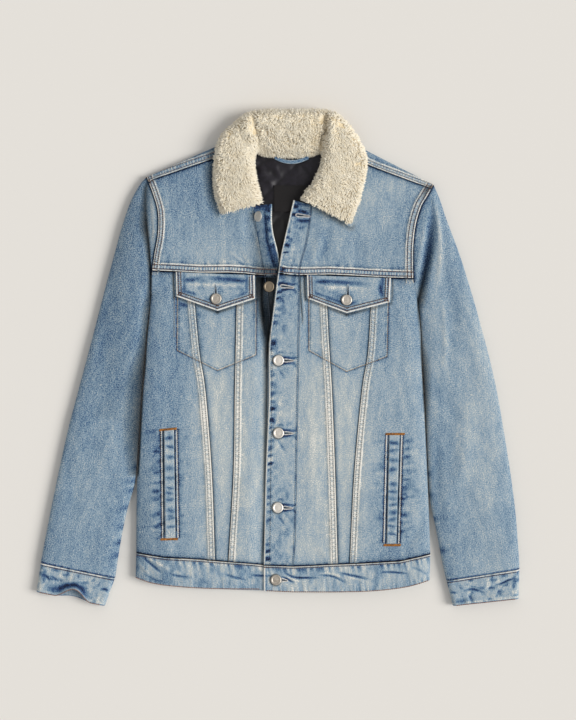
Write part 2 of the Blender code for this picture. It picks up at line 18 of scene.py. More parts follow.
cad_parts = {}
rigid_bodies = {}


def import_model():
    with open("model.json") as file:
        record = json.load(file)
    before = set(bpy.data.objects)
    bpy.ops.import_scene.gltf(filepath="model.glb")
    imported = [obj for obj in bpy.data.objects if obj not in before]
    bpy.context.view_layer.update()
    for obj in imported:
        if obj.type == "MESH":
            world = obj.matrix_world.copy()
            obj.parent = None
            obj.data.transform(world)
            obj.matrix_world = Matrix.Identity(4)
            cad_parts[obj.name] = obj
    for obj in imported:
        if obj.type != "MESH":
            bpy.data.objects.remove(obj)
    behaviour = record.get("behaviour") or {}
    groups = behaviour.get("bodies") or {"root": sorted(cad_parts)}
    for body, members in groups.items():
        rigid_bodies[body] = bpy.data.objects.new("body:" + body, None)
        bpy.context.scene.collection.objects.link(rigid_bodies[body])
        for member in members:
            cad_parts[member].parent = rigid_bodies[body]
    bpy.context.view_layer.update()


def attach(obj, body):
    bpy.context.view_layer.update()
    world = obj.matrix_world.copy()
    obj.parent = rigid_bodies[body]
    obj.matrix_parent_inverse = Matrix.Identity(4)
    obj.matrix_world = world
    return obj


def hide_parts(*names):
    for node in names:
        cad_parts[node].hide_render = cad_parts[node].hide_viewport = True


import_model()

# %% [markdown]
# ## Units, colours and one helper for material nodes
#
# The plan is written in millimetres because a pattern cutter reads it so. Blender wants metres
# and linear colour. A hex colour is sRGB, so one function turns it to linear, and one function
# adds a node, sets it and links it.

# %% Small helpers
MM = 0.001
CENTRE_Y = 1.5           # middle of the layout in the plan, which lies at y = 0


def linear(text):
    """sRGB hex to linear RGB: divide by 12.92 below 0.04045, else ((c + 0.055) / 1.055) ** 2.4."""
    c = np.array([int(text[i:i + 2], 16) for i in (1, 3, 5)]) / 255
    return tuple(np.where(c <= 0.04045, c / 12.92, ((c + 0.055) / 1.055) ** 2.4)) + (1.0,)


def add(tree, kind, inputs=None, **settings):
    """Adds one node. A socket given as an input is linked, and any other value is set."""
    made = tree.nodes.new(kind)
    for name, value in settings.items():
        setattr(made, name, value)
    for name, value in (inputs or {}).items():
        if isinstance(value, bpy.types.NodeSocket):
            tree.links.new(value, made.inputs[name])
        else:
            made.inputs[name].default_value = value
    return made


def start_material(name, **settings):
    """A new material with its tree and shader. Settings are shader inputs, _ standing for a space."""
    made = bpy.data.materials.new(name)
    made.use_nodes = True
    shader = made.node_tree.nodes["Principled BSDF"]
    for socket, value in settings.items():
        shader.inputs[socket.replace("_", " ")].default_value = value
    return made, made.node_tree, shader


def fill_ramp(node, rows):
    """Gives a colour ramp the rows of (place, colour) as its stops, and returns its colour."""
    stops = node.color_ramp.elements
    while len(stops) < len(rows):
        stops.new(0.5)
    for stop, (place, colour) in zip(stops, rows):
        stop.position, stop.color = place, linear(colour)
    return node.outputs[0]


# %% [markdown]
# ## Lines of the plan
#
# A seam is a smooth curve through a few measured points. Catmull-Rom does that without any
# overshoot worth the name, and a point on it can then be asked for by its share of the length.

# %% Curves
def smooth(rows, steps=10):
    """Catmull-Rom: each span is the cubic through its ends whose slopes are half the chord
    between the neighbours on either side."""
    p = np.array(rows, float)
    ends = np.vstack([2 * p[0] - p[1], p, 2 * p[-1] - p[-2]])
    t = np.linspace(0, 1, steps, endpoint=False)[:, None]
    a, b, c, d = ends[:-3, None], ends[1:-2, None], ends[2:-1, None], ends[3:, None]
    spans = 0.5 * (2 * b + (c - a) * t + (2 * a - 5 * b + 4 * c - d) * t ** 2
                   + (3 * b - a - 3 * c + d) * t ** 3)
    return np.vstack([spans.reshape(-1, p.shape[1]), p[-1:]])


def run_of(line):
    """Length from the start of the line to each of its points."""
    return np.append(0, np.cumsum(np.linalg.norm(np.diff(line, axis=0), axis=1)))


def at(line, shares):
    """Points at the given shares of a line's length, by linear interpolation."""
    line = np.asarray(line, float)
    run = run_of(line[:, :2])
    return np.stack([np.interp(np.asarray(shares) * run[-1], run, column) for column in line.T], 1)


def beside(line, gap):
    """The line moved sideways by gap, to its left for a positive gap: each point goes along
    the unit normal of the chord between its neighbours."""
    way = np.gradient(line, axis=0)
    way /= np.linalg.norm(way, axis=1, keepdims=True)
    return line + gap * np.stack([-way[:, 1], way[:, 0]], 1)


def chain(*lines):
    """Lines joined end to end, with each shared point kept once."""
    return np.vstack([lines[0]] + [line[1:] for line in lines[1:]])


def corners(rows, gap=2.0):
    """A line with straight runs and sharp corners, with a point every few millimetres."""
    p = np.array(rows, float)
    shares = np.linspace(0, 1, max(int(run_of(p)[-1] / gap), 2))
    return at(p, np.union1d(shares, run_of(p) / run_of(p)[-1]))


# %% [markdown]
# ## The cut of the jacket
#
# These are the seam points of the solids, in millimetres. `_R` is the wearer's right, at -X, and
# `_L` the wearer's left, at +X. The wearer's left front buttons over the right one.

# %% Seam points
ARMHOLE_R = smooth([(-205, 283), (-201.5, 274), (-194, 254), (-187, 228), (-187, 195),
                    (-192.5, 163), (-196, 137), (-197.5, 118), (-198, 100)])
ARMHOLE_L = smooth([(243, 271), (239.5, 264.5), (231, 250), (223, 236), (215, 209),
                    (211, 174), (211, 125), (213.5, 111), (217, 95)])
SIDE_R = smooth([(-198, 100), (-201, 60), (-204, 34), (-208, -20), (-212, -65),
                 (-216, -129), (-220, -200), (-221, -272), (-221, -303)])
SIDE_L = smooth([(217, 95), (221, 60), (223, 34), (225, -20), (228, -65),
                 (231, -129), (234, -200), (236, -249), (238, -305)])
HEM_CORNER_R, HEM_CORNER_L = (-222, -342), (237, -346)
OUTER_R = smooth([(-205, 283), (-216, 270), (-230, 244), (-242, 210), (-252, 174),
                  (-268, 115), (-289, 34), (-314, -60), (-326, -105), (-342, -177),
                  (-359, -260), (-370, -318)])
OUTER_L = smooth([(243, 271), (253, 247), (263, 217), (277, 180), (290, 142),
                  (314, 61), (338, -34), (355, -129), (369, -225), (375, -296), (377, -328)])
INNER_R = smooth([(-198, 100), (-202.6, 60), (-205.6, 34), (-209.6, -20), (-213.6, -65),
                  (-217.6, -129), (-220.6, -170), (-224.5, -200), (-235, -236),
                  (-245, -284), (-254, -342)])
INNER_L = smooth([(217, 95), (222.6, 60), (224.6, 34), (226.6, -20), (229.6, -65),
                  (232.6, -129), (235.6, -200), (239.5, -232), (247, -268),
                  (257, -320), (263, -346)])
NECK_BACK = np.array([(-60, 347), (-48, 331), (-36, 322), (-24, 318), (-12, 315), (20, 313),
                      (45, 315), (60, 318), (72, 322), (86, 331), (98, 345)], float)
SHOULDER_SEAM_R = smooth([(-201.5, 274), (-186, 282), (-101, 311), (-64, 326)])
SHOULDER_SEAM_L = smooth([(239.5, 264.5), (142, 301), (102, 322)])
NECK_FRONT_R = smooth([(-37, 238), (-54, 270), (-62, 300), (-64, 326)])
NECK_FRONT_L = smooth([(53, 239), (68, 250), (86, 272), (98, 300), (102, 322)])
BAND_SEAM_DOWN = smooth([(-11, -322.5), (-8, -65), (-8, 15), (-14, 91), (-19, 129.6)])
BAND_SEAM_UP = smooth([(-19, 129.6), (-24, 148), (-31, 185), (-36, 215), (-38, 238)])
BAND_EDGE = smooth([(11, -323), (14, -65), (11, 91), (3, 153), (-8, 202), (-9, 241)])
PLACKET_EDGE = smooth([(-22, -322), (-19, -179), (-14, -60), (-14, 15), (-8, 69),
                       (3, 151), (11, 190), (24, 247)])
PLACKET_SEAM_DOWN = smooth([(24, -323.5), (27, -274), (30, -115), (33, 44), (34, 129.6)])
PLACKET_SEAM_UP = smooth([(34, 129.6), (36, 148), (45, 181), (52, 227), (53, 239)])
# The yoke seams run on across the two front bands, as far as the edge of the placket
YOKE_R = np.array([(-196, 137), (-165, 135.8), (-121, 133.2), (-75, 133.6), (-51, 132.3),
                   (-34, 130.2), (-19, 129.6), (-2, 129)], float)
YOKE_L = np.array([(1.5, 133.6), (11, 131.3), (34, 129.6), (58, 130), (81, 130.5), (112, 129.2),
                   (144, 127.3), (175, 125.8), (194, 125.4), (211, 125)], float)
WAIST_R = np.array([(-221, -303), (-176, -310), (-121, -313), (-59, -318), (-11, -322.5)], float)
WAIST_L = np.array([(-22, -322), (24, -323.5), (50, -322.5), (81, -320.8), (128, -319), (190, -315.5),
                    (222, -308.5), (238, -305)], float)
V_OUTER_R = smooth([(-103, -314.5), (-108, -179), (-118, -51), (-128, 15), (-139, 133.3)])
V_INNER_R = smooth([(-72, -317), (-64, -179), (-62, -51), (-60, 44), (-58, 132.7)])
V_INNER_L = smooth([(88, -320.5), (84, -179), (79, -51), (74, 29), (69, 130.3)])
V_OUTER_L = smooth([(117, -319.4), (124, -179), (136, -51), (146, 15), (152, 127)])
HALF_BAND = 5.5          # half the width of a slanting felled seam
print("seam lengths, mm:", {"armhole": round(run_of(ARMHOLE_R)[-1]),
                            "side": round(run_of(SIDE_R)[-1]), "sleeve": round(run_of(OUTER_R)[-1])})

# %% [markdown]
# ## Smooth noise on the plan
#
# Wadding, washing and pressing leave the cloth gently uneven. Value noise gives that: random
# numbers on a lattice, eased between neighbours, with a fixed seed so that every run is alike.

# %% Noise and steps
def noise(x, y, size, seed):
    """Value noise from -1 to 1: lattice values one size apart, blended with 3t^2 - 2t^3."""
    table = np.random.default_rng(seed).uniform(-1, 1, (256, 256))
    gx, gy = np.asarray(x) / size + 1000.37, np.asarray(y) / size + 1000.73
    ix, iy = np.floor(gx).astype(int), np.floor(gy).astype(int)
    fx, fy = gx - ix, gy - iy
    fx, fy = fx * fx * (3 - 2 * fx), fy * fy * (3 - 2 * fy)
    ix, iy = ix % 255, iy % 255
    low = table[iy, ix] * (1 - fx) + table[iy, ix + 1] * fx
    high = table[iy + 1, ix] * (1 - fx) + table[iy + 1, ix + 1] * fx
    return low * (1 - fy) + high * fy


def step(value, low, high):
    """Smoothstep: 0 below low, 1 above high, 3t^2 - 2t^3 between."""
    t = np.clip((value - low) / (high - low), 0, 1)
    return t * t * (3 - 2 * t)


def bell(value, width):
    """Gaussian exp(-(value / width)^2)."""
    return np.exp(-(value / width) ** 2)


# %% [markdown]
# ## Distance from a seam
#
# Nearly everything on denim happens beside a seam: the felled ridge, the puckers, the fades.
# So each point is measured against each seam: how far along it lies, how far to which side,
# and how far it is past the seam's ends.

# %% Distance to a line
def near(points, line):
    """Signed distance (positive to the left), length along, and distance past the ends: the
    foot of the perpendicular on each segment, and the nearest of them."""
    best = np.full(len(points), 1e12)
    side, along, past = np.zeros((3, len(points)))
    run = run_of(line)
    last = len(line) - 2
    for k in range(len(line) - 1):
        a, way = line[k], line[k + 1] - line[k]
        size = max(way @ way, 1e-9)
        free = ((points - a) @ way) / size
        t = np.clip(free, 0, 1)
        gap = points - a - t[:, None] * way
        far = gap[:, 0] ** 2 + gap[:, 1] ** 2
        closer = far < best
        best = np.where(closer, far, best)
        sign = np.sign(way[0] * gap[:, 1] - way[1] * gap[:, 0])
        side = np.where(closer, sign, side)
        along = np.where(closer, run[k] + t * math.sqrt(size), along)
        over = math.sqrt(size) * np.maximum(-free if k == 0 else -1.0,
                                            free - 1 if k == last else -1.0)
        past = np.where(closer, np.maximum(over, 0), past)
    return side * np.sqrt(best), along, past


def within(points, line, reach):
    """Which points lie in the line's box grown by reach, so that far ones are skipped."""
    low, high = line.min(0) - reach, line.max(0) + reach
    return np.where(((points > low) & (points < high)).all(1))[0]


def nearest(points, lines):
    """Shortest distance from each point to any of the lines."""
    return np.min([np.abs(near(points, np.asarray(line, float))[0]) for line in lines], axis=0)


# %% [markdown]
# ## The seams
#
# A flat-felled seam is a band of four layers with a sharp folded edge on one side. The thread
# has shrunk a little, so the cloth beside it puckers at right angles to the seam. Washing has
# rubbed the crests and the folded edge nearly white and left indigo in the hollows. One row of
# this table holds all of that for one seam. A line runs so that its band lies on its left hand:
# the middle panel of each front lies lowest, so the folded edges beside it face it.

# %% Seam table
def flip(line):
    return line[::-1]


EDGE_OUTER_R = beside(V_OUTER_R, -HALF_BAND)
EDGE_INNER_R = beside(V_INNER_R, HALF_BAND)
EDGE_INNER_L = beside(V_INNER_L, -HALF_BAND)
EDGE_OUTER_L = beside(V_OUTER_L, HALF_BAND)
POCKET_R = corners([(-156.5, 96), (-157, 13), (-94, -19), (-34, 5.5), (-34, 92)])
POCKET_L = corners([(48, 94), (48, 12.5), (107, -20.5), (170, 3), (172, 90)])
# Corners of the welts: upper left, upper right, lower right, lower left
WELT_R = [(-177, -111.5), (-162, -110.5), (-159.5, -279), (-175, -280)]
WELT_L = [(173.5, -118.5), (189, -118.5), (184, -288), (169.5, -288)]


def beside_welt(top, bottom, away):
    """Stitch line beside a long side of a welt, run so that the welt is on its left hand."""
    return beside(corners([top, bottom]) if away < 0 else corners([bottom, top]), -5.0)


WELT_LINES = [beside_welt(WELT_R[0], WELT_R[3], -1), beside_welt(WELT_R[1], WELT_R[2], 1),
              beside_welt(WELT_L[0], WELT_L[3], -1), beside_welt(WELT_L[1], WELT_L[2], 1)]

# Columns: line, band width, height, pucker height, pucker length, reach beyond the band,
# reach outside, indigo, rungs between the stitch rows and their pitch, strength of the worn
# lines and the painted shadow lines, painted shade at the folded edge and its reach
SEAM_COLUMNS = ("line", "band", "height", "pucker", "wave", "inside", "outside", "blue", "rung",
                "pitch", "edge", "shade", "deep")
SEAMS = [
    (YOKE_R, 12.4, 1.2, 0.35, 7, 7, 9, 0.6, 0.5, 4.6, 0.9, 0.9, 3.0),
    (YOKE_L, 12.4, 1.2, 0.35, 7, 7, 9, 0.6, 0.5, 4.6, 0.9, 0.9, 3.0),
    (EDGE_OUTER_R, 11, 0.9, 0.2, 6.5, 4, 3, 0.15, 0.3, 6.6, 0.2, 0.65, 2.0),
    (flip(EDGE_INNER_R), 11, 0.9, 0.2, 6.5, 4, 3, 0.15, 0.3, 7.1, 0.24, 0.7, 2.0),
    (EDGE_INNER_L, 11, 0.9, 0.2, 6.5, 4, 3, 0.15, 0.3, 6.8, 0.2, 0.7, 2.0),
    (flip(EDGE_OUTER_L), 11, 0.9, 0.2, 6.5, 4, 3, 0.15, 0.3, 6.4, 0.2, 0.6, 2.0),
    (ARMHOLE_R[:64], 10.5, 1.1, 0.2, 8, 5, 5, 0.25, 0.2, 6.0, 0.5, 0.8, 3.0),
    (flip(ARMHOLE_L[:64]), 12, 1.1, 0.2, 8, 5, 5, 0.25, 0.2, 6.3, 0.6, 0.7, 2.2),
    (SHOULDER_SEAM_R, 12, 1.1, 0.25, 7, 5, 4, 0.3, 0.4, 5.0, 0.6, 0.7, 2.0),
    (flip(SHOULDER_SEAM_L), 10, 1.1, 0.25, 7, 5, 4, 0.3, 0.3, 5.2, 0.6, 0.75, 2.4),
    (flip(WAIST_R), 0, 1.0, 0.5, 7, 12, 6, 0.8, 0, 9, 0.75, 0.85, 2.2),
    (flip(WAIST_L), 0, 1.0, 0.5, 7, 12, 6, 0.8, 0, 9, 0.75, 0.85, 2.2),
    (POCKET_R, 0, 0.7, 0.3, 9, 5, 4, 0.5, 0, 9, 0.35, 0.1, 2.0),
    (POCKET_L, 0, 0.7, 0.3, 9, 5, 4, 0.5, 0, 9, 0.35, 0.1, 2.0),
    (WELT_LINES[0], 0, 0.6, 0.6, 11, 3, 15, 1.3, 0, 9, 1.0, 0.3, 2.0),
    (WELT_LINES[1], 0, 0.6, 0.5, 11, 3, 10, 1.1, 0, 9, 1.0, 0.2, 2.0),
    (WELT_LINES[2], 0, 0.6, 0.5, 11, 3, 10, 1.1, 0, 9, 1.0, 0.2, 2.0),
    (WELT_LINES[3], 0, 0.6, 0.6, 11, 3, 15, 1.3, 0, 9, 1.0, 0.3, 2.0),
]
MARKS = ("blue", "worn", "lip", "back", "run", "rung", "edge", "shade")
print(len(SEAMS), "seams on the front")

# %% [markdown]
# ## What a seam does to the cloth
#
# The relief is a sum over the seams. Distance from the folded edge and from the band's other
# edge are kept as well, because they change so evenly over the mesh that a material can draw a
# line from them that is finer than the mesh itself.

# %% Seam relief
FAR = 40.0               # millimetres beyond which a seam is out of reach


def relief(points, seams):
    """Height and the marks of the seams, by name.

    For a seam with signed distance s and length t:
    band     height * step(s) * (1 - step(s - band)), a flat ridge from 0 to band
    pucker   a mix of two waves along t, fading as exp(-distance / reach) beside the band
    indigo   in the troughs of the wave, wear on its crests
    shade    painted shade: exp(s / deep) outside the folded edge, weaker past the band's back edge
    """
    n = len(points)
    z = np.zeros(n)
    marks = {name: np.zeros(n) for name in MARKS}
    marks["lip"], marks["back"], closest = np.full((3, n), FAR)
    for number, row in enumerate(seams):
        seam = dict(zip(SEAM_COLUMNS, row))
        band = seam["band"]
        pick = within(points, seam["line"], FAR)
        if not len(pick):
            continue
        s, t, past = near(points[pick], seam["line"])
        here = 1 - step(past, 0.2, 1.2)
        seed = 40 + 7 * number

        def raise_mark(name, values):
            marks[name][pick] = np.maximum(marks[name][pick], values)

        if band:
            flat = step(s, -0.5, 0.8) * (1 - step(s, band - 0.9, band + 1.3))
            z[pick] += here * (seam["height"] * flat - 0.6 * bell(s + 1.3, 1.2))
            between = step(s, 1.6, 3.2) * (1 - step(s, band - 3.2, band - 1.6))
            z[pick] -= here * between * 0.3
            bare = (0.95 - 0.6 * seam["blue"]) * (1 - seam["rung"])
            raise_mark("worn", here * bare * flat)
        else:
            z[pick] -= here * seam["height"] * bell(s, 1.5)
        ripple = (noise(t + 0.2 * s, s * 0.3, seam["wave"] * 0.5, seed)
                  + 0.6 * noise(t, s * 0.4, seam["wave"] * 0.27, seed + 1))
        swell = 0.5 + 0.5 * noise(t, 0 * t, 42, seed + 2)
        away = np.where(s > band, s - band, np.where(s < 0, -s, 0))
        fade = np.exp(-away / np.where(s > 0, seam["inside"], seam["outside"]))
        pull = here * fade * (0.4 + 0.6 * swell) * np.where((s > 0) & (s < band), 0.25, 1)
        z[pick] += seam["pucker"] * ripple * pull
        raise_mark("blue", seam["blue"] * pull * step(-ripple, 0.1, 0.9))
        raise_mark("blue", here * 0.4 * np.where(s < 0, np.exp(s / 4), 0))
        raise_mark("worn", 0.8 * pull * step(ripple, 0.3, 1.0))
        raise_mark("shade", here * seam["shade"] * np.where(s < 0.4, np.exp(s / seam["deep"]), 0))
        raise_mark("shade", here * 0.3 * np.where(s > band, np.exp((band - s) / 2.0), 0))
        gap = np.minimum(np.abs(s), np.abs(s - band))
        nearer = (gap < closest[pick]) & (past < 1)
        hit = pick[nearer]
        closest[hit] = gap[nearer]
        marks["lip"][hit] = np.clip(s, -FAR, FAR)[nearer]
        marks["back"][hit] = np.clip(s - band if band else FAR + 0 * s, -FAR, FAR)[nearer]
        marks["run"][hit] = t[nearer] / seam["pitch"]
        marks["rung"][hit], marks["edge"][hit] = seam["rung"], seam["edge"]
    return z, marks


# %% [markdown]
# ## Creases and marks at given places
#
# The main creases are soft ridges and troughs at known places. Each row is a short line with a
# width, a height (negative for a trough), and how much indigo or wear lies in it. Its ends fade
# out, so it never looks stamped.

# %% Crease table
# Columns: points, width, height, indigo, wear. A row's number also seeds how its height varies,
# so the rows keep their order
CREASES = [
    # sleeve of the wearer's right: fold beside the armhole, elbow and forearm drag lines
    ([(-203, 276), (-201, 240), (-198, 200), (-200, 157)], 5, -2.2, 0.25, 0),
    ([(-197, 262), (-195, 220), (-194, 190), (-198, 160)], 4, 0.8, 0, 0.45),
    ([(-232, 230), (-240, 150), (-247, 90)], 16, 1.6, 0, 0.1),
    ([(-262, 120), (-272, 40), (-270, -30)], 14, -1.5, 0.1, 0),
    ([(-255, 60), (-290, 20), (-305, -30)], 15, 1.2, 0, 0.1),
    ([(-230, -20), (-262, -60), (-300, -95)], 13, -1.3, 0.1, 0),
    ([(-236, -70), (-262, -130), (-268, -200)], 15, 1.2, 0, 0.1),
    ([(-330, -140), (-318, -210), (-335, -270)], 14, -1.1, 0.08, 0),
    # sleeve of the wearer's left
    ([(240, 228), (236, 176), (228, 132), (222, 102)], 7.5, -4.0, 0.75, 0),
    # the ridge beside this fold: its wear is partly painted highlight
    ([(245, 254), (250, 215), (253, 177), (252.5, 140), (249, 108)], 4.5, 1.4, 0, 0.8),
    ([(256, 100), (260, 60), (261, 15), (259, -20)], 5, 1.2, 0, 0.45),
    ([(235, 240), (227, 190), (220, 150), (217, 112)], 4.5, 1.0, 0, 0.5),
    ([(262, 150), (272, 80), (268, 20)], 13, -1.5, 0.12, 0),
    ([(294, -60), (292, -110), (287, -165), (266, -220)], 14, 2.0, 0, 0.2),
    ([(250, -90), (247, -190), (250, -260)], 11, -1.8, 0.2, 0),
    ([(300, 90), (312, 20), (322, -50)], 16, 1.2, 0, 0.12),
    ([(240, -20), (262, -70), (300, -110)], 14, -1.3, 0.15, 0),
    ([(250, -80), (272, -150), (278, -230)], 16, -1.3, 0.12, 0),
    ([(300, -150), (322, -220), (326, -290)], 18, 1.1, 0, 0.1),
    ([(345, -160), (356, -230), (362, -290)], 12, -0.9, 0.08, 0),
    # yokes: folds towards the button band and under the collar
    ([(-44, 214), (-32, 182), (-28, 150), (-27, 138)], 3.2, 1.3, 0, 0.5),
    ([(-34, 224), (-26, 190), (-22, 160), (-23, 134)], 3.6, -1.3, 0.8, 0),
    ([(-58, 180), (-46, 150), (-34, 137)], 4, 0.7, 0, 0.45),
    ([(-95, 150), (-70, 148), (-40, 141)], 5, 0.8, 0, 0.5),
    ([(-76, 168), (-56, 151), (-38, 139)], 3, 0.6, 0, 0.55),
    ([(-70, 158), (-52, 145), (-34, 136)], 2.6, -0.6, 0.6, 0),
    ([(66, 196), (60, 170), (52, 140)], 6, 0.9, 0, 0.25),
    ([(80, 205), (75, 175), (62, 148)], 8, -1.0, 0.25, 0),
    ([(118, 190), (130, 160), (140, 145)], 14, -0.9, 0.1, 0),
    # centre panels, beside the placket
    ([(-18, 118), (-20, 60), (-22, 10)], 6, -1.0, 0.3, 0),
    ([(-44, -30), (-34, -110), (-46, -190)], 12, -0.9, 0.12, 0),
    ([(44, 100), (46, 40), (44, 0)], 6, -0.9, 0.2, 0),
    # blue beneath the flaps: partly indigo, partly painted shadow of the flaps
    ([(-155, 86), (-146, 83), (-138, 81)], 4.5, -0.5, 0.9, 0),
    ([(-126, 74), (-121, 62)], 4.5, -0.4, 0.6, 0),
    ([(-102, 72), (-90, 71), (-78, 74)], 7, -0.4, 0.3, 0),
    ([(102, 69), (112, 69), (124, 72)], 7, -0.4, 0.3, 0),
    # the ridge beside the placket's seam: its wear is partly painted highlight
    ([(42.5, 58), (41, 80), (39.5, 105), (38, 126)], 2.2, 0.6, 0, 0.7),
    ([(50, -60), (56, -160), (52, -250)], 14, 0.8, 0, 0.15),
    # puckers beside the hand pockets
    ([(195, -141), (207, -140)], 3.2, -0.4, 0.7, 0), ([(194, -153), (208, -153)], 4.4, -0.5, 0.95, 0),
    ([(192, -189), (207, -188)], 2.2, -0.5, 0.9, 0), ([(191, -205), (203, -204)], 3, -0.4, 0.7, 0),
    ([(189, -243), (203, -244)], 5, -0.5, 1.0, 0), ([(188, -254), (198, -256)], 3.2, -0.4, 0.8, 0),
    ([(187, -269), (199, -270)], 3.6, -0.4, 0.9, 0), ([(168, -206), (158, -204)], 3.2, -0.4, 0.5, 0),
    ([(166, -250), (152, -248)], 4, -0.4, 0.6, 0), ([(165, -240), (156, -238)], 2.6, -0.3, 0.4, 0),
    ([(-183, -146), (-196, -144)], 4, -0.5, 0.9, 0), ([(-183, -177), (-195, -178)], 3, -0.4, 0.8, 0),
    ([(-182, -208), (-197, -206)], 4.4, -0.5, 0.95, 0), ([(-181, -240), (-193, -242)], 3.4, -0.4, 0.8, 0),
    ([(-181, -262), (-194, -262)], 4, -0.4, 0.9, 0), ([(-157, -196), (-147, -197)], 3, -0.3, 0.5, 0),
    ([(-155, -246), (-144, -244)], 3.6, -0.4, 0.6, 0),
    # hem of the side panels
    ([(-204, -225), (-186, -262), (-165, -300)], 7, 0.8, 0.1, 0.2),
    ([(-190, -235), (-172, -270), (-150, -306)], 6, -0.7, 0.15, 0),
    ([(60, -290), (74, -306), (80, -322)], 5, 0.6, 0, 0.2),
    ([(226, -250), (208, -285), (196, -312)], 8, -0.8, 0.12, 0),
]


def press(points, creases):
    """Height, indigo and wear of the creases. Across a crease the shape is a Gaussian of its
    width; along it, the shape swells and fades as sin(pi * share) ** 0.7."""
    z, blue, worn = np.zeros((3, len(points)))
    for number, (rows, width, height, indigo, wear) in enumerate(creases):
        line = smooth(rows, 6)
        pick = within(points, line, 3 * width)
        if not len(pick):
            continue
        s, t, past = near(points[pick], line)
        share = np.clip(t / run_of(line)[-1], 0, 1)
        ends = np.sin(math.pi * np.clip(share, 0.02, 0.98)) ** 0.7 * bell(past, width)
        uneven = 1 + 0.35 * noise(t, 0 * t, 3 * width, 300 + number)
        shape = bell(s, width) * ends * uneven
        z[pick] += height * shape
        blue[pick] = np.maximum(blue[pick], indigo * bell(s, 0.8 * width) * ends)
        worn[pick] = np.maximum(worn[pick], wear * bell(s, 0.7 * width) * ends)
    return z, blue, worn


print(len(CREASES), "creases on the front and the sleeves")

# %% [markdown]
# ## Painted shade of deep folds and cast shadows
#
# Where cloth turns down into a deep fold, hardly any light reaches it. Such a place gets a painted
# shade of its own, and so do the shadows that the collar, the yoke, the placket and the flaps cast,
# and the side of a sleeve turned from the light: strongest on a line, and running out to either
# side over a reach that changes along the line.

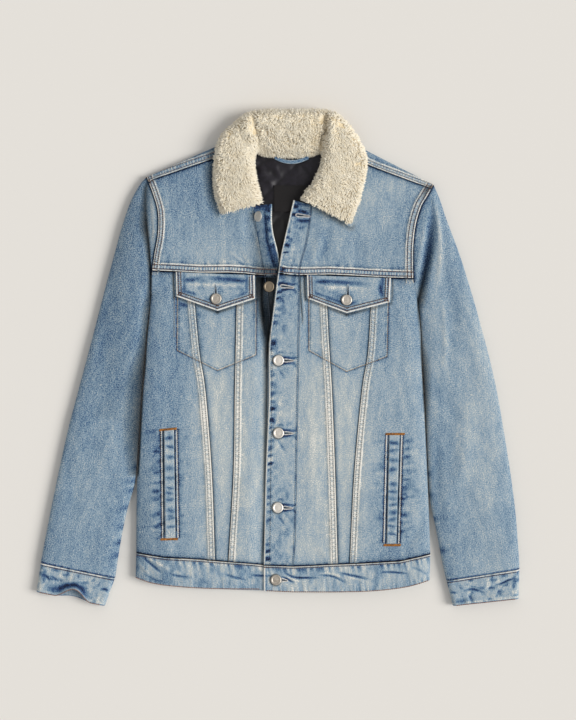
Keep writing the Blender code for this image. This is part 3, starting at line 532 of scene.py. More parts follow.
# %% Painted shade
# Columns: x, y, reach to the left, reach to the right, depth. Every line runs upwards
PAINTED_SHADE_LINES = [
    # the wearer's right sleeve where it dives beside the trunk, up to the fold at the armhole
    [(-217, -180, 20, 1, 0.8), (-214, -120, 31, 1, 0.9), (-210, -50, 30, 1, 0.9), (-207, -18, 26, 1, 0.95),
     (-204, 30, 14, 1, 0.9), (-201, 76, 12, 2, 0.8), (-198, 107, 7, 3, 0.95), (-198, 138, 6, 3, 1.0),
     (-201, 178, 9, 4, 0.95), (-204, 205, 14, 6, 0.95), (-206, 232, 10, 8, 0.85), (-206, 262, 7, 8, 0.8),
     (-202, 276, 5, 5, 0.7)],
    # the wearer's left sleeve beside the trunk, and the deep fold that runs up from there
    [(236, -220, 1, 5, 0.5), (231, -127, 1, 5, 0.45), (227, -65, 1, 12, 0.85), (224, -10, 1, 15, 0.8),
     (221, 35, 1, 6, 0.4), (218, 70, 1, 9, 0.6), (219, 91, 3, 14, 0.9), (225, 116, 8, 12, 0.9),
     (233, 154, 8, 11, 0.72), (237, 182, 8, 12, 0.5), (240, 202, 6, 10, 0.4), (242, 220, 5, 8, 0.25),
     (240, 248, 3, 3, 0.2)],
    # the end of the wearer's left shoulder
    [(226, 250, 4, 4, 0.3), (232, 262, 8, 5, 0.75), (241, 268, 5, 4, 0.85)],
    # under the placket's folded edge, widest beside the second button
    [(-24, -322, 3, 1, 0.6), (-23, -298, 3, 1, 0.8), (-20, -220, 3, 1, 0.8), (-17, -65, 8, 1, 0.8),
     (-15, 13, 11, 1, 0.95), (-13, 37, 20, 1, 0.95), (-8, 76, 40, 1, 0.9), (-5, 100, 44, 1, 0.85),
     (-2, 122, 40, 1, 0.85), (1, 136, 24, 1, 0.7), (4, 152, 17, 1, 0.5), (8, 175, 6, 1, 0.3)],
    # the step at the seam of the button band, and the shadow of the yoke across the band
    [(-20, 36, 3, 5, 0.6), (-23, 66, 7, 8, 0.95), (-25, 91, 9, 7, 0.95), (-24, 122, 14, 8, 0.95),
     (-22, 129, 10, 8, 0.5)],
    [(-24, 140, 34, 26, 0.42), (-30, 185, 24, 26, 0.34), (-37, 226, 12, 24, 0.28)],
    [(-32, 126, 2, 10, 0.5), (-24, 126, 2, 12, 0.9), (-12, 126, 2, 12, 0.9), (-5, 126, 2, 9, 0.6)],
    [(-36, 137, 14, 10, 0.3), (-24, 137, 14, 9, 0.55), (0, 137, 8, 8, 0.45)],
    [(-18, -12, 5, 4, 0.3), (-17, 20, 7, 6, 0.45), (-16, 45, 10, 9, 0.5), (-14, 122, 16, 14, 0.55)],
    # the fold beside the seam of the placket
    [(38.5, 54, 2, 2, 0.3), (38, 66, 2, 2, 0.75), (36, 90, 2, 2, 0.85), (34.5, 127, 2, 2, 0.7)],
    # the lee side of the wearer's right sleeve
    [(-268, -90, 36, 40, 0.1), (-250, 40, 40, 36, 0.16), (-236, 150, 30, 30, 0.2), (-216, 240, 20, 14, 0.15)],
    # the wearer's right side above the hem
    [(-200, -150, 28, 40, 0.03), (-196, -240, 30, 42, 0.09), (-192, -350, 36, 52, 0.12)],
    # beside and beneath the pocket flaps
    [(-161, 94, 4, 1, 0.5), (-161, 100, 4, 1, 0.85), (-162, 134, 5, 1, 0.9)],
    [(-33, 92, 1, 5, 0.5), (-34, 100, 1, 8, 0.8), (-34, 130, 1, 8, 0.85)],
    [(44, 92, 4, 1, 0.6), (43, 100, 5, 1, 0.85), (42, 130, 5, 1, 0.85)],
    [(176, 87, 1, 3, 0.4), (177, 95, 1, 4, 0.6), (178, 125, 1, 4, 0.7)],
    [(-161, 96, 2, 4, 0.6), (-94, 73, 2, 5, 0.85)], [(-94, 73, 2, 5, 0.85), (-33, 92, 2, 4, 0.6)],
    [(43, 92, 2, 4, 0.6), (107, 69, 2, 5, 0.8)], [(107, 69, 2, 5, 0.8), (177, 86, 2, 4, 0.5)],
    # beneath the outer edge of the collar's right leaf and below both of its points
    [(-92, 222, 8, 2, 0.3), (-97, 240, 13, 1, 0.5), (-100, 262, 16, 1, 0.62), (-101.5, 290, 18, 1, 0.66),
     (-99, 318, 16, 1, 0.6), (-92, 345, 10, 1, 0.4)],
    [(60, 241, 1, 8, 0.65), (84, 225, 1, 10, 0.6), (112, 205, 1, 8, 0.5), (118, 208, 1, 5, 0.3)],
]


def painted_shade(points):
    """Painted shade depth * (1 - (s / reach)^1.3) beside each line of the table, s being the distance
    from it. Reach and depth are read off along the line, the ends fade as a Gaussian, and shades
    that overlap are joined as 1 - (1 - a) * (1 - b)."""
    shade = np.zeros(len(points))
    for rows in PAINTED_SHADE_LINES:
        rows = smooth(rows, 6)
        line = rows[:, :2]
        pick = within(points, line, 44)
        if not len(pick):
            continue
        s, t, past = near(points[pick], line)
        left, right, depth = [np.interp(t, run_of(line), rows[:, k]) for k in (2, 3, 4)]
        reach = np.maximum(np.where(s > 0, left, right), 0.3)
        here = depth * np.clip(1 - (np.abs(s) / reach) ** 1.3, 0, 1) * bell(past, 4)
        shade[pick] = 1 - (1 - shade[pick]) * (1 - here)
    return shade


print(len(PAINTED_SHADE_LINES), "deep folds")

# %% [markdown]
# ## Fades
#
# Stone washing takes most colour from what stood proud: the chest and the middle of the fronts
# are pale and greyish, the sides and the sleeves keep more blue. A few soft ellipses say so.

# %% Fade map
# Columns: x, y, reach in x, reach in y, share of colour washed out
FADES = [
    (-45, -130, 55, 215, 0.84), (-98, -110, 46, 190, 0.96),
    (62, -110, 55, 230, 0.87), (110, -140, 48, 200, 0.93),
    (-110, 165, 75, 45, 0.5), (120, 190, 80, 75, 0.28), (140, 240, 50, 50, 0.4), (-165, 60, 30, 70, 0.2),
    (190, -60, 55, 190, 0.48), (215, -215, 26, 90, 0.45), (-196, 220, 9, 60, 0.6), (250, 90, 14, 150, 0.35),
    (-180, -240, 45, 90, 0.35), (-255, -120, 50, 130, 0.15), (-310, -220, 60, 110, 0.3),
    (320, -90, 70, 280, 0.62), (-320, -360, 60, 40, 0.4), (345, -350, 50, 40, 0.5),
    (48, -312, 45, 38, 0.6), (-48, -318, 38, 28, 0.6), (84, -270, 52, 60, 0.4),
    (-95, -285, 50, 40, 0.35), (182, 272, 42, 22, 0.5), (-182, 230, 26, 32, 0.35),
]


def washed(points):
    """Share of colour washed out: 1 minus the product of (1 - amount * Gaussian) over the fades."""
    kept = np.ones(len(points))
    for x, y, rx, ry, amount in FADES:
        far = ((points[:, 0] - x) / rx) ** 2 + ((points[:, 1] - y) / ry) ** 2
        kept *= 1 - amount * np.exp(-far)
    cloud = noise(points[:, 0], points[:, 1], 46, 11) * 0.5 + noise(points[:, 0], points[:, 1], 19, 12) * 0.35
    return np.clip(1 - kept + 0.10 * cloud, 0, 1)


# %% [markdown]
# ## Height of the front
#
# The jacket is a flattened tube: at a side fold the front rounds over like a quarter ellipse
# and meets the back, and further in it lies level on the wadding. The right front sinks under
# the placket. Seams, creases and soft wadding are added to that.

# %% Heights
FOLD_MID = 8.5           # height at which front and back meet
BODY_TOP = 17.0
FRONT_UNDER = 10.0
FOLD_REACH = 28.0
SIDE_WALL = 7.0
BAND_TOP = 12.9
BACK_WALL = 7.0
DIP_WIDTH = 25.0
LAY_GAP = 0.3
WAIST_TOP = 15.5
SHOULDER_FOLD_R = np.array([ARMHOLE_R[0], NECK_BACK[0]])
SHOULDER_FOLD_L = np.array([ARMHOLE_L[0], NECK_BACK[-1]])
HEM_SIDE_R = np.array([SIDE_R[-1], HEM_CORNER_R])
HEM_SIDE_L = np.array([SIDE_L[-1], HEM_CORNER_L])
BODY_FOLDS = [SHOULDER_FOLD_R, SHOULDER_FOLD_L, SIDE_R, SIDE_L, OUTER_R, OUTER_L,
              HEM_SIDE_R, HEM_SIDE_L]
SLEEVE_FOLDS = {"r": [SHOULDER_FOLD_R, OUTER_R, INNER_R], "l": [SHOULDER_FOLD_L, OUTER_L, INNER_L]}


def rise(d, reach):
    """Quarter ellipse: sqrt(1 - (1 - d / reach)^2), from 0 at the fold to 1 at the reach."""
    return np.sqrt(np.clip(1 - (1 - np.clip(d / reach, 0, 1)) ** 2, 0, 1))


def wall_share(d):
    """0 within the wall at a fold, and from there a quarter ellipse that reaches 1 at FOLD_REACH."""
    return np.where(d < SIDE_WALL, 0, rise(d - SIDE_WALL, FOLD_REACH - SIDE_WALL))


def dip(points):
    """Share by which the under front has sunk to the button band, a smoothstep across DIP_WIDTH."""
    seam_line = chain(BAND_SEAM_DOWN, BAND_SEAM_UP)
    seam = np.interp(points[:, 1], seam_line[:, 1], seam_line[:, 0])
    low = PLACKET_EDGE[:61]
    edge = np.interp(points[:, 1], np.append(low[:, 1], 200), np.append(low[:, 0], 40))
    t = np.clip((points[:, 0] - np.minimum(seam, edge) + 1) / DIP_WIDTH + 1, 0, 1)
    return t * t * (3 - 2 * t)


def front_height(points, folds, seams=SEAMS, creases=CREASES, sinks=False):
    """Top and under height and the marks of the front layer at each plan point."""
    d = nearest(points, folds)
    crown = FOLD_MID + 1 + (BODY_TOP - FOLD_MID - 1) * rise(d, FOLD_REACH)
    under = FOLD_MID + (FRONT_UNDER - FOLD_MID) * wall_share(d)
    if sinks:
        crown = crown - (BODY_TOP - BAND_TOP) * dip(points)
    ridge, marks = relief(points, seams)
    fold, fold_blue, fold_worn = press(points, creases)
    x, y = points.T
    soft = 0.55 * noise(x, y, 55, 1) + 0.3 * noise(x, y, 21, 2) + 0.12 * noise(x, y, 9, 3)
    calm = step(d, 0, 14)
    top = crown + (ridge + fold + soft) * (0.25 + 0.75 * calm)
    top = np.maximum(top, under + 1.2)
    marks["blue"] = np.maximum(marks["blue"], fold_blue)
    marks["worn"] = np.maximum(marks["worn"], fold_worn)
    marks["pale"] = washed(points)
    marks["shade"] = np.maximum(marks["shade"], painted_shade(points))
    return top, under, marks


def no_seam(points, pale):
    """Marks of a piece that has none of the table's seams."""
    marks = {name: np.zeros(len(points)) for name in MARKS}
    marks["lip"], marks["back"] = np.full((2, len(points)), FAR)
    marks["pale"] = np.zeros(len(points)) + pale
    return marks


print("front stands", BODY_TOP, "mm above the floor")

# %% [markdown]
# ## From a grid to a closed piece of cloth
#
# A panel is a Coons patch: two opposite edges are blended, then the other two, and the bilinear
# part that was counted twice is taken off. The same grid serves the upper and the lower face,
# and a strip of quads closes the rim, so each piece is one closed skin with a real thickness.

# %% Patches and slabs
def spread(length, gap=2.0, rims=(True, True)):
    """Shares of a length every gap millimetres, with closer ones at a rim that is rounded."""
    middle = np.linspace(0, length, max(int(round(length / gap)), 2) + 1)
    fine = np.array([0.35, 0.9, 1.7])
    if rims[0]:
        middle = np.union1d(middle[(middle < 0.1) | (middle > 2.2)], fine)
    if rims[1]:
        middle = np.union1d(middle[(middle < length - 2.2) | (middle > length - 0.1)], length - fine)
    return middle / length


def patch(bottom, top, left, right, u, v, seam_gap=0.3):
    """Coons patch: (1-v) B(u) + v T(u) + (1-u) L(v) + u R(v) minus the bilinear corners. Each
    rim row is drawn in by half a seam gap along the way to the row inside it."""
    b, t, l, r = at(bottom, u), at(top, u), at(left, v), at(right, v)
    uu, vv = u[None, :, None], v[:, None, None]
    grid = (1 - vv) * b[None] + vv * t[None] + (1 - uu) * l[:, None] + uu * r[:, None]
    grid -= ((1 - uu) * (1 - vv) * b[0] + uu * (1 - vv) * b[-1]
             + (1 - uu) * vv * t[0] + uu * vv * t[-1])
    drawn = grid.copy()
    for rim, inside in ((0, 2), (-1, -3)):
        way = grid[inside] - grid[rim]
        drawn[rim] += 0.5 * seam_gap * way / np.maximum(np.linalg.norm(way, axis=1, keepdims=True), 1e-6)
        way = grid[:, inside] - grid[:, rim]
        drawn[:, rim] += (0.5 * seam_gap * way
                          / np.maximum(np.linalg.norm(way, axis=1, keepdims=True), 1e-6))
    return drawn


def rounded(grid, edges, radius=1.1):
    """How far the top drops near the named rims, a quarter circle of that radius. Edges are
    letters out of b, t, l, r for bottom, top, left and right."""
    drop = np.zeros(grid.shape[:2])
    rims = {"b": grid[:1], "t": grid[-1:], "l": grid[:, :1], "r": grid[:, -1:]}
    for name in edges:
        d = np.linalg.norm(grid - rims[name], axis=2)
        drop = np.maximum(drop, radius * (1 - rise(d + 0.05 * radius, radius)))
    return drop


def new_mesh(name, points, quads, material, marks=None, cloth=None):
    """A mesh object from arrays: points in plan millimetres, faces all of three or all of four."""
    placed = (np.asarray(points, float) - (0, CENTRE_Y, 0)) * MM
    mesh = bpy.data.meshes.new(name)
    mesh.vertices.add(len(placed))
    mesh.vertices.foreach_set("co", placed.astype(np.float32).ravel())
    mesh.loops.add(quads.size)
    mesh.loops.foreach_set("vertex_index", quads.astype(np.int32).ravel())
    mesh.polygons.add(len(quads))
    mesh.polygons.foreach_set("loop_start", np.arange(0, quads.size, quads.shape[1], dtype=np.int32))
    mesh.update(calc_edges=True)
    mesh.validate()
    mesh.shade_smooth()
    for mark, values in (marks or {}).items():
        made = mesh.attributes.new(mark, "FLOAT", "POINT")
        made.data.foreach_set("value", np.asarray(values, np.float32).ravel())
    if cloth is not None:
        layer = mesh.uv_layers.new(name="cloth")
        corner = np.empty(len(mesh.loops), np.int32)
        mesh.loops.foreach_get("vertex_index", corner)
        layer.data.foreach_set("uv", np.asarray(cloth, np.float32)[corner].ravel())
    mesh.materials.append(material)
    made = bpy.data.objects.new(name, mesh)
    bpy.context.scene.collection.objects.link(made)
    return made


def grid_quads(rows, columns, start=0):
    """Corner numbers of the quads of a grid, as one array."""
    k = np.arange(rows * columns).reshape(rows, columns) + start
    return np.stack([k[:-1, :-1], k[:-1, 1:], k[1:, 1:], k[1:, :-1]], -1).reshape(-1, 4)


def tube(k):
    """Quads round stacked rings of corner numbers: the last axis of k runs round a ring, and the
    one before it runs from ring to ring."""
    after = np.roll(k, -1, -1)
    return np.stack([k[..., :-1, :], after[..., :-1, :], after[..., 1:, :], k[..., 1:, :]],
                    -1).reshape(-1, 4)


def triangles(quads, *more):
    """Each quad cut in two along a diagonal, with any further triangles after them."""
    return np.vstack([quads[:, [0, 1, 2]], quads[:, [0, 2, 3]], *more])


def thinned(count, stride=3):
    """Numbers of the grid lines that a face nobody looks at keeps: the three at either rim and
    every stride-th one between them."""
    k = np.arange(count)
    return k[(k < 3) | (k >= count - 3) | (k % stride == 0)]


def lowest_near(values, reach):
    """The lowest value within reach grid lines of each one, so a coarse face stays below."""
    for axis in (0, 1):
        padded = np.pad(values, [(reach, reach) if k == axis else (0, 0) for k in (0, 1)], mode="edge")
        steps = np.arange(values.shape[axis])
        values = np.min([np.take(padded, steps + k, axis) for k in range(2 * reach + 1)], axis=0)
    return values


def slab(name, grid, top, under, marks, material, cloth, stride=3):
    """Closed piece between two height fields over one grid. The under face has only every
    stride-th grid line, and a fan of triangles joins each of its rim's longer edges to the top's
    short ones."""
    rows, columns = grid.shape[:2]
    flat = grid.reshape(-1, 2)
    count = len(flat)
    top, under = np.broadcast_to(top, count), np.broadcast_to(under, count).reshape(rows, columns)
    k = np.arange(count).reshape(rows, columns)
    pick = np.ix_(thinned(rows, stride), thinned(columns, stride))
    kept = k[pick].ravel()
    low = lowest_near(under, stride)[pick] if stride > 1 else under
    points = np.vstack([np.column_stack([flat, top]), np.column_stack([flat[kept], low.ravel()])])
    below = np.full(count, -1)
    below[kept] = count + np.arange(len(kept))
    rim = np.concatenate([k[0, :-1], k[:-1, -1], k[-1, :0:-1], k[:0:-1, 0]])
    after = np.roll(rim, -1)
    shared = np.where(below[rim] >= 0)[0]
    owner = below[rim[shared[np.searchsorted(shared, np.arange(len(rim)), "right") - 1]]]
    post, following = rim[shared], rim[np.roll(shared, -1)]
    quads = np.vstack([grid_quads(rows, columns), grid_quads(*k[pick].shape, count)[:, ::-1]])
    faces = triangles(quads, np.stack([after, rim, owner], 1),
                      np.stack([following, below[post], below[following]], 1))
    outline, ahead = flat[rim], flat[after]
    if np.sum(outline[:, 0] * ahead[:, 1] - outline[:, 1] * ahead[:, 0]) < 0:
        faces = faces[:, ::-1]
    both = {mark: np.append(values, np.ravel(values)[kept]) for mark, values in marks.items()}
    return new_mesh(name, points, faces, material, both, np.vstack([cloth, cloth[kept]]))


SLANT_SHARE = 0.3        # share of its box below which a piece counts as a slanting strip


def join_frame(piece, slot, *nodes):
    """The piece rides on the body and stands for the named solids, which are hidden; slot is not used."""
    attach(piece, "root")
    if nodes:
        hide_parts(*nodes)


def flat_area(grid):
    """Plan area of a grid in square millimetres, from the cross product of each quad's diagonals."""
    one, two = grid[1:, 1:] - grid[:-1, :-1], grid[1:, :-1] - grid[:-1, 1:]
    return 0.5 * np.abs(one[..., 0] * two[..., 1] - one[..., 1] * two[..., 0]).sum()


def finish_cloth(piece, nodes, grid, slot="denim", grow=1.02):
    """Rides on the body, stands for its solids, and states its cut: the box of the plan and
    its area, grown by the little that the cloth's rise adds. A thin strip that lies on a slant
    fills little of that box, so it is stated as cut straight: its length along the slant, which
    is the box's diagonal, and its mean width, which is the area over that length."""
    join_frame(piece, slot, *nodes)
    size = grid.reshape(-1, 2)
    width, length = np.ptp(size[:, 0]) * grow * MM, np.ptp(size[:, 1]) * grow * MM
    area = min(flat_area(grid) * grow ** 2 * MM ** 2, width * length)
    if area < SLANT_SHARE * width * length:
        length = np.hypot(width, length)
        width = area / length
    print(piece.name, "cut", round(width * 1000), "x", round(length * 1000), "mm,",
          round(area * 1e4), "cm2,", len(piece.data.polygons), "faces")

# %% [markdown]
# ## Washed denim
#
# Denim is a twill of indigo warp and undyed weft. Stone washing rubs the indigo off, so every
# tone on the jacket lies on one path, from raw indigo through mid blue and grey blue to bare
# cotton. The material moves along that path: each point starts from how much its panel has
# faded, the threads scatter it, hollows move it back and worn crests move it on. The surface is
# matt with a faint bloom of loose fibre.

# %% Denim material
WARP_STREAK = (1.7 * MM, 7.0 * MM)   # real slubs are 0.5 mm wide: drawn coarser, so they show
YARN = 1.5 * MM                      # real yarns are 0.4 mm apart: drawn coarser, so they show
TWILL = 2.4 * MM                     # real twill ribs are 0.9 mm apart: drawn coarser too
SLUB, GRAIN, CLOUD = 0.6, 1.45, 0.36    # how far threads and clouds shift the tone
SMOOTHER = 0.5                       # share of that which is gone where the colour is washed out
# Columns: place on the path, colour. 0 is raw indigo and 1 is bare cotton
INDIGO_PATH = [(0.0, "#101A30"), (0.16, "#24406F"), (0.34, "#4E6D8B"), (0.5, "#758EA1"),
               (0.64, "#91A4B4"), (0.78, "#ABB5B7"), (0.9, "#C9CAC4"), (1.0, "#ECE7DE")]
# What a shade leaves of the colour, as light from the cloth around fills it in warmer and greyer
LEFT_OVER = [(0.0, "#000000"), (0.15, "#6E6864"), (0.5, "#BCBBB9"), (1.0, "#FFFFFF")]
# Columns: millimetres from the folded edge of a seam, shift along the path (0.5 is none)
# The dips below 0.5 just outside a folded edge and beside each stitch row are painted shadow of the fold and
# of the thread; the peaks are the rubbed white edges.
LIP_CURVE = [(-5, 0.5), (-2.6, 0.44), (-1.5, 0.1), (-0.4, 0.0), (0.0, 0.2), (0.4, 0.9), (1.5, 0.9),
             (2.1, 0.3), (2.5, 0.06), (3.4, 0.06), (4.1, 0.45), (5, 0.5)]
BACK_CURVE = [(-5, 0.5), (-4.1, 0.45), (-3.5, 0.06), (-2.6, 0.06), (-2.1, 0.3), (-1.6, 0.85),
              (-0.1, 0.87), (0.6, 0.45), (1.8, 0.4), (5, 0.5)]
# Inside both edges, where the rungs are: 0 is outside and 1 is inside
LIP_INSIDE = [(-5, 0), (3.2, 0), (4.2, 1), (5, 1)]
BACK_INSIDE = [(-5, 1), (-4.2, 1), (-3.2, 0), (5, 0)]


def curve_points(node, rows, reach=5.0):
    """Fills a float curve with rows of (millimetres, value), the millimetres scaled to 0..1."""
    curve = node.mapping.curves[0]
    while len(curve.points) < len(rows):
        curve.points.new(0.5, 0.5)
    for point, (x, value) in zip(curve.points, rows):
        point.location = ((x + reach) / (2 * reach), value)
        point.handle_type = "VECTOR"
    node.mapping.extend = "HORIZONTAL"
    node.mapping.update()


def washed_denim(name, base, span):
    """Stone-washed cotton twill. Tone = base + span * pale + threads - indigo + wear + seam lines; painted
    shade darkens it.
    """
    made, tree, shader = start_material(name, Roughness=0.88, Sheen_Roughness=0.5)
    cloth = add(tree, "ShaderNodeUVMap", uv_map="cloth").outputs[0]

    def mark(kind):
        return add(tree, "ShaderNodeAttribute", attribute_name=kind).outputs["Fac"]

    def threads(size, detail, rough=0.6):
        """Noise over the cloth's own plan, size being one thread's width and length."""
        scaled = add(tree, "ShaderNodeMapping", {0: cloth, 3: (1 / size[0], 1 / size[1], 1)})
        return add(tree, "ShaderNodeTexNoise", {"Vector": scaled.outputs[0], "Scale": 1.0,
                                                "Detail": detail, "Roughness": rough}).outputs[0]

    def sum_of(first, second, amount):
        """first + second * amount."""
        return add(tree, "ShaderNodeMath", {0: second, 1: amount, 2: first},
                   operation="MULTIPLY_ADD").outputs[0]

    def math_of(kind, *values):
        return add(tree, "ShaderNodeMath", dict(enumerate(values)), operation=kind).outputs[0]

    slub = threads(WARP_STREAK, 2.0)
    yarn = threads((YARN, YARN), 1.0)
    cloud = threads((10 * MM, 34 * MM), 1.5)
    grain = sum_of(sum_of(-0.5 * (SLUB + GRAIN), slub, SLUB), yarn, GRAIN)
    contrast = sum_of(1.0, mark("pale"), -SMOOTHER)
    tone = sum_of(sum_of(base - 0.5 * CLOUD, mark("pale"), span), grain, contrast)

    def shaped(kind, rows):
        """A mark in millimetres passed through a curve of rows (millimetres, value)."""
        curve = add(tree, "ShaderNodeFloatCurve", {"Value": math_of("MULTIPLY_ADD", mark(kind), 0.1, 0.5)})
        curve_points(curve, rows)
        return curve.outputs[0]

    tone = sum_of(tone, cloud, CLOUD)
    tone = sum_of(tone, mark("blue"), -0.5)
    tone = sum_of(tone, mark("worn"), 0.3)
    broken = math_of("MULTIPLY_ADD", threads((5 * MM, 5 * MM), 2.0), 2.4, -0.2)
    strength = math_of("MULTIPLY", mark("edge"), broken)
    for kind, rows in (("lip", LIP_CURVE), ("back", BACK_CURVE)):
        tone = sum_of(tone, math_of("SUBTRACT", shaped(kind, rows), 0.5), strength)
    phase = math_of("MULTIPLY_ADD", cloud, 9.0, math_of("MULTIPLY", mark("run"), 2 * math.pi))
    rungs = math_of("MULTIPLY", math_of("SINE", phase), mark("rung"))
    inside = math_of("MULTIPLY", shaped("lip", LIP_INSIDE), shaped("back", BACK_INSIDE))
    tone = sum_of(tone, math_of("MULTIPLY", rungs, inside), 0.36)

    # The shade mark is painted shade: it darkens the colour through LEFT_OVER and dims the specular and the
    # sheen.
    light = math_of("SUBTRACT", 1.0, mark("shade"))
    blue = fill_ramp(add(tree, "ShaderNodeValToRGB", {0: tone}), INDIGO_PATH)
    left_over = fill_ramp(add(tree, "ShaderNodeValToRGB", {0: light}), LEFT_OVER)
    shaded = add(tree, "ShaderNodeVectorMath", {0: blue, 1: left_over}, operation="MULTIPLY")
    tree.links.new(shaded.outputs[0], shader.inputs["Base Color"])
    tree.links.new(math_of("MULTIPLY", light, 0.25), shader.inputs["Specular IOR Level"])
    tree.links.new(math_of("MULTIPLY", light, 0.12), shader.inputs["Sheen Weight"])
    ribs = add(tree, "ShaderNodeMapping", {0: cloth, 2: (0, 0, math.radians(63)),
                                           3: (1 / TWILL, 1 / TWILL, 1)})
    wave = add(tree, "ShaderNodeTexWave", {"Vector": ribs.outputs[0], "Scale": 0.32,
                                           "Distortion": 1.2}).outputs["Fac"]
    weave = sum_of(math_of("MULTIPLY", wave, 0.35), yarn, 0.9)
    bump = add(tree, "ShaderNodeBump", {"Height": weave, "Strength": 0.35, "Distance": 0.4 * MM})
    tree.links.new(bump.outputs[0], shader.inputs["Normal"])
    return made


DENIM = washed_denim("stone_washed_denim", 0.46, 0.34)
print("denim tones from", INDIGO_PATH[0][1], "to", INDIGO_PATH[-1][1])

# %% [markdown]
# ## The four panels and the yoke of each front
#
# On the real jacket the side, middle and centre panels are felled together, and the yoke is
# felled over their tops. Each becomes one patch between its four seam lines. The rim on the
# folded side stands over its neighbour, and that lip catches the light as the real one does.

# %% Fronts
def cloth_plan(grid, turn=0.0):
    """The cloth's own plan in metres: the grid turned by the angle of its grain."""
    flat = grid.reshape(-1, 2) * MM
    c, s = math.cos(turn), math.sin(turn)
    return flat @ np.array([[c, -s], [s, c]]).T


def front_piece(name, node, lines, edges, folds=None, sinks=False, gap=2.0, extra=None):
    """One panel of the front layer between bottom, top, left and right lines."""
    bottom, top, left, right = lines
    width = max(run_of(bottom)[-1], run_of(top)[-1])
    length = max(run_of(left)[-1], run_of(right)[-1])
    u = spread(width, gap, ("l" in edges, "r" in edges))
    v = spread(length, gap, ("b" in edges, "t" in edges))
    grid = patch(bottom, top, left, right, u, v)
    z, under, marks = front_height(grid.reshape(-1, 2), folds or BODY_FOLDS, sinks=sinks)
    if extra is not None:
        z, under = extra(grid.reshape(-1, 2), z, under, marks)
    z = z - rounded(grid, edges).ravel()
    piece = slab(name, grid, z, np.minimum(under, z - 0.8), marks, DENIM, cloth_plan(grid))
    finish_cloth(piece, [node], grid)


def cut(line, low, high):
    """The stretch of a left-to-right line between two places in x."""
    xs = line[:, 0]
    keep = line[(xs > low + 0.5) & (xs < high - 0.5)]
    ends = [[x, np.interp(x, xs, line[:, 1])] for x in (low, high)]
    return np.vstack([ends[:1], keep, ends[1:]])


def lower_front(side, side_line, edge_a, edge_b, centre, yoke, waist, sinks):
    """The three lower panels of one front. Lines run from the waist up, named from the side in."""
    names = ("side", "mid", "centre")
    lines = [side_line, edge_a, edge_b, centre]
    for k, name in enumerate(names):
        near_line, far_line = lines[k], lines[k + 1]
        left, right = (near_line, far_line) if side == "r" else (far_line, near_line)
        bottom = cut(waist, left[0, 0], right[0, 0])
        top = cut(yoke, left[-1, 0], right[-1, 0])
        edges = "bt" + ("" if k == 0 and side == "r" else "l") + ("" if k == 0 and side == "l" else "r")
        front_piece("denim_%s_%s" % (name, side), "front_%s_%s" % (name, side),
                    (bottom, top, left, right), edges, sinks=sinks)


YOKE_ROW = 60            # the point of each armhole line at the yoke seam
TRUNK_R = chain(flip(SIDE_R), flip(ARMHOLE_R[YOKE_ROW:]))
TRUNK_L = chain(flip(SIDE_L), flip(ARMHOLE_L[YOKE_ROW:]))
lower_front("r", TRUNK_R, EDGE_OUTER_R, EDGE_INNER_R, BAND_SEAM_DOWN, YOKE_R, WAIST_R, True)
lower_front("l", TRUNK_L, EDGE_OUTER_L, EDGE_INNER_L, PLACKET_SEAM_DOWN, YOKE_L, WAIST_L, False)
front_piece("denim_yoke_r", "front_yoke_r",
            (cut(YOKE_R, -196, -19), SHOULDER_SEAM_R, flip(ARMHOLE_R[10:YOKE_ROW + 1]),
             chain(BAND_SEAM_UP, NECK_FRONT_R)), "btlr", sinks=True)
front_piece("denim_yoke_l", "front_yoke_l",
            (cut(YOKE_L, 34, 211), flip(SHOULDER_SEAM_L), chain(PLACKET_SEAM_UP, NECK_FRONT_L),
             flip(ARMHOLE_L[10:YOKE_ROW + 1])), "btlr")

# %% [markdown]
# ## Placket, button band and waistband
#
# The buttonhole placket lies over the button band, and the waistband closes the hem. The
# placket was rubbed hardest in the wash: its folded edge is white, and a row of indigo
# puckers lies just inside it, where the layers of the fold end.

# %% Front bands
BUTTON_RADIUS = 8.3
# Columns: node, x, y, tilt in degrees, patina with painted shade
BUTTONS = [("button_1", -30, 221, -45, 0.1), ("button_2", -14, 112, 0, 0.95),
           ("button_3", 1, -3, 0, -0.1), ("button_4", 1, -116, 0, 0.1),
           ("button_5", 0, -232, 0, 0.0), ("button_6", -3, -344.5, 0, 0.45),
           ("flap_button_r", -96, 93, 0, 0.4), ("flap_button_l", 107, 91, 0, 0.3)]
PLACKET_LINE = chain(PLACKET_SEAM_DOWN, PLACKET_SEAM_UP)
BAND_LINE = chain(BAND_SEAM_DOWN, BAND_SEAM_UP)


# Puckers that spread from each buttonhole. Columns: points, width, height, indigo, wear
HOLE_PUCKERS = []
for y in (112, -3, -116, -232):
    HOLE_PUCKERS += [([(0, y + 5), (12, y + 4.5), (27, y + 3)], 2.6, -0.5, 1.4, 0),
                     ([(0, y - 7), (12, y - 4.5), (27, y - 3)], 2.8, -0.5, 1.4, 0),
                     ([(20, y + 1.5), (26, y + 4), (31, y + 5)], 2.2, -0.8, 1.0, 0),
                     ([(20, y - 2), (26, y - 6), (30, y - 12)], 2.2, -0.8, 0.9, 0),
                     ([(22, y), (27, y), (33, y - 1)], 1.8, 0.5, 0, 0.6),
                     ([(0, y - 11), (5, y - 19), (12, y - 28)], 2.6, -0.8, 0.8, 0),
                     ([(-3, y + 10), (4, y + 13), (10, y + 11)], 2.4, -0.6, 0.8, 0)]
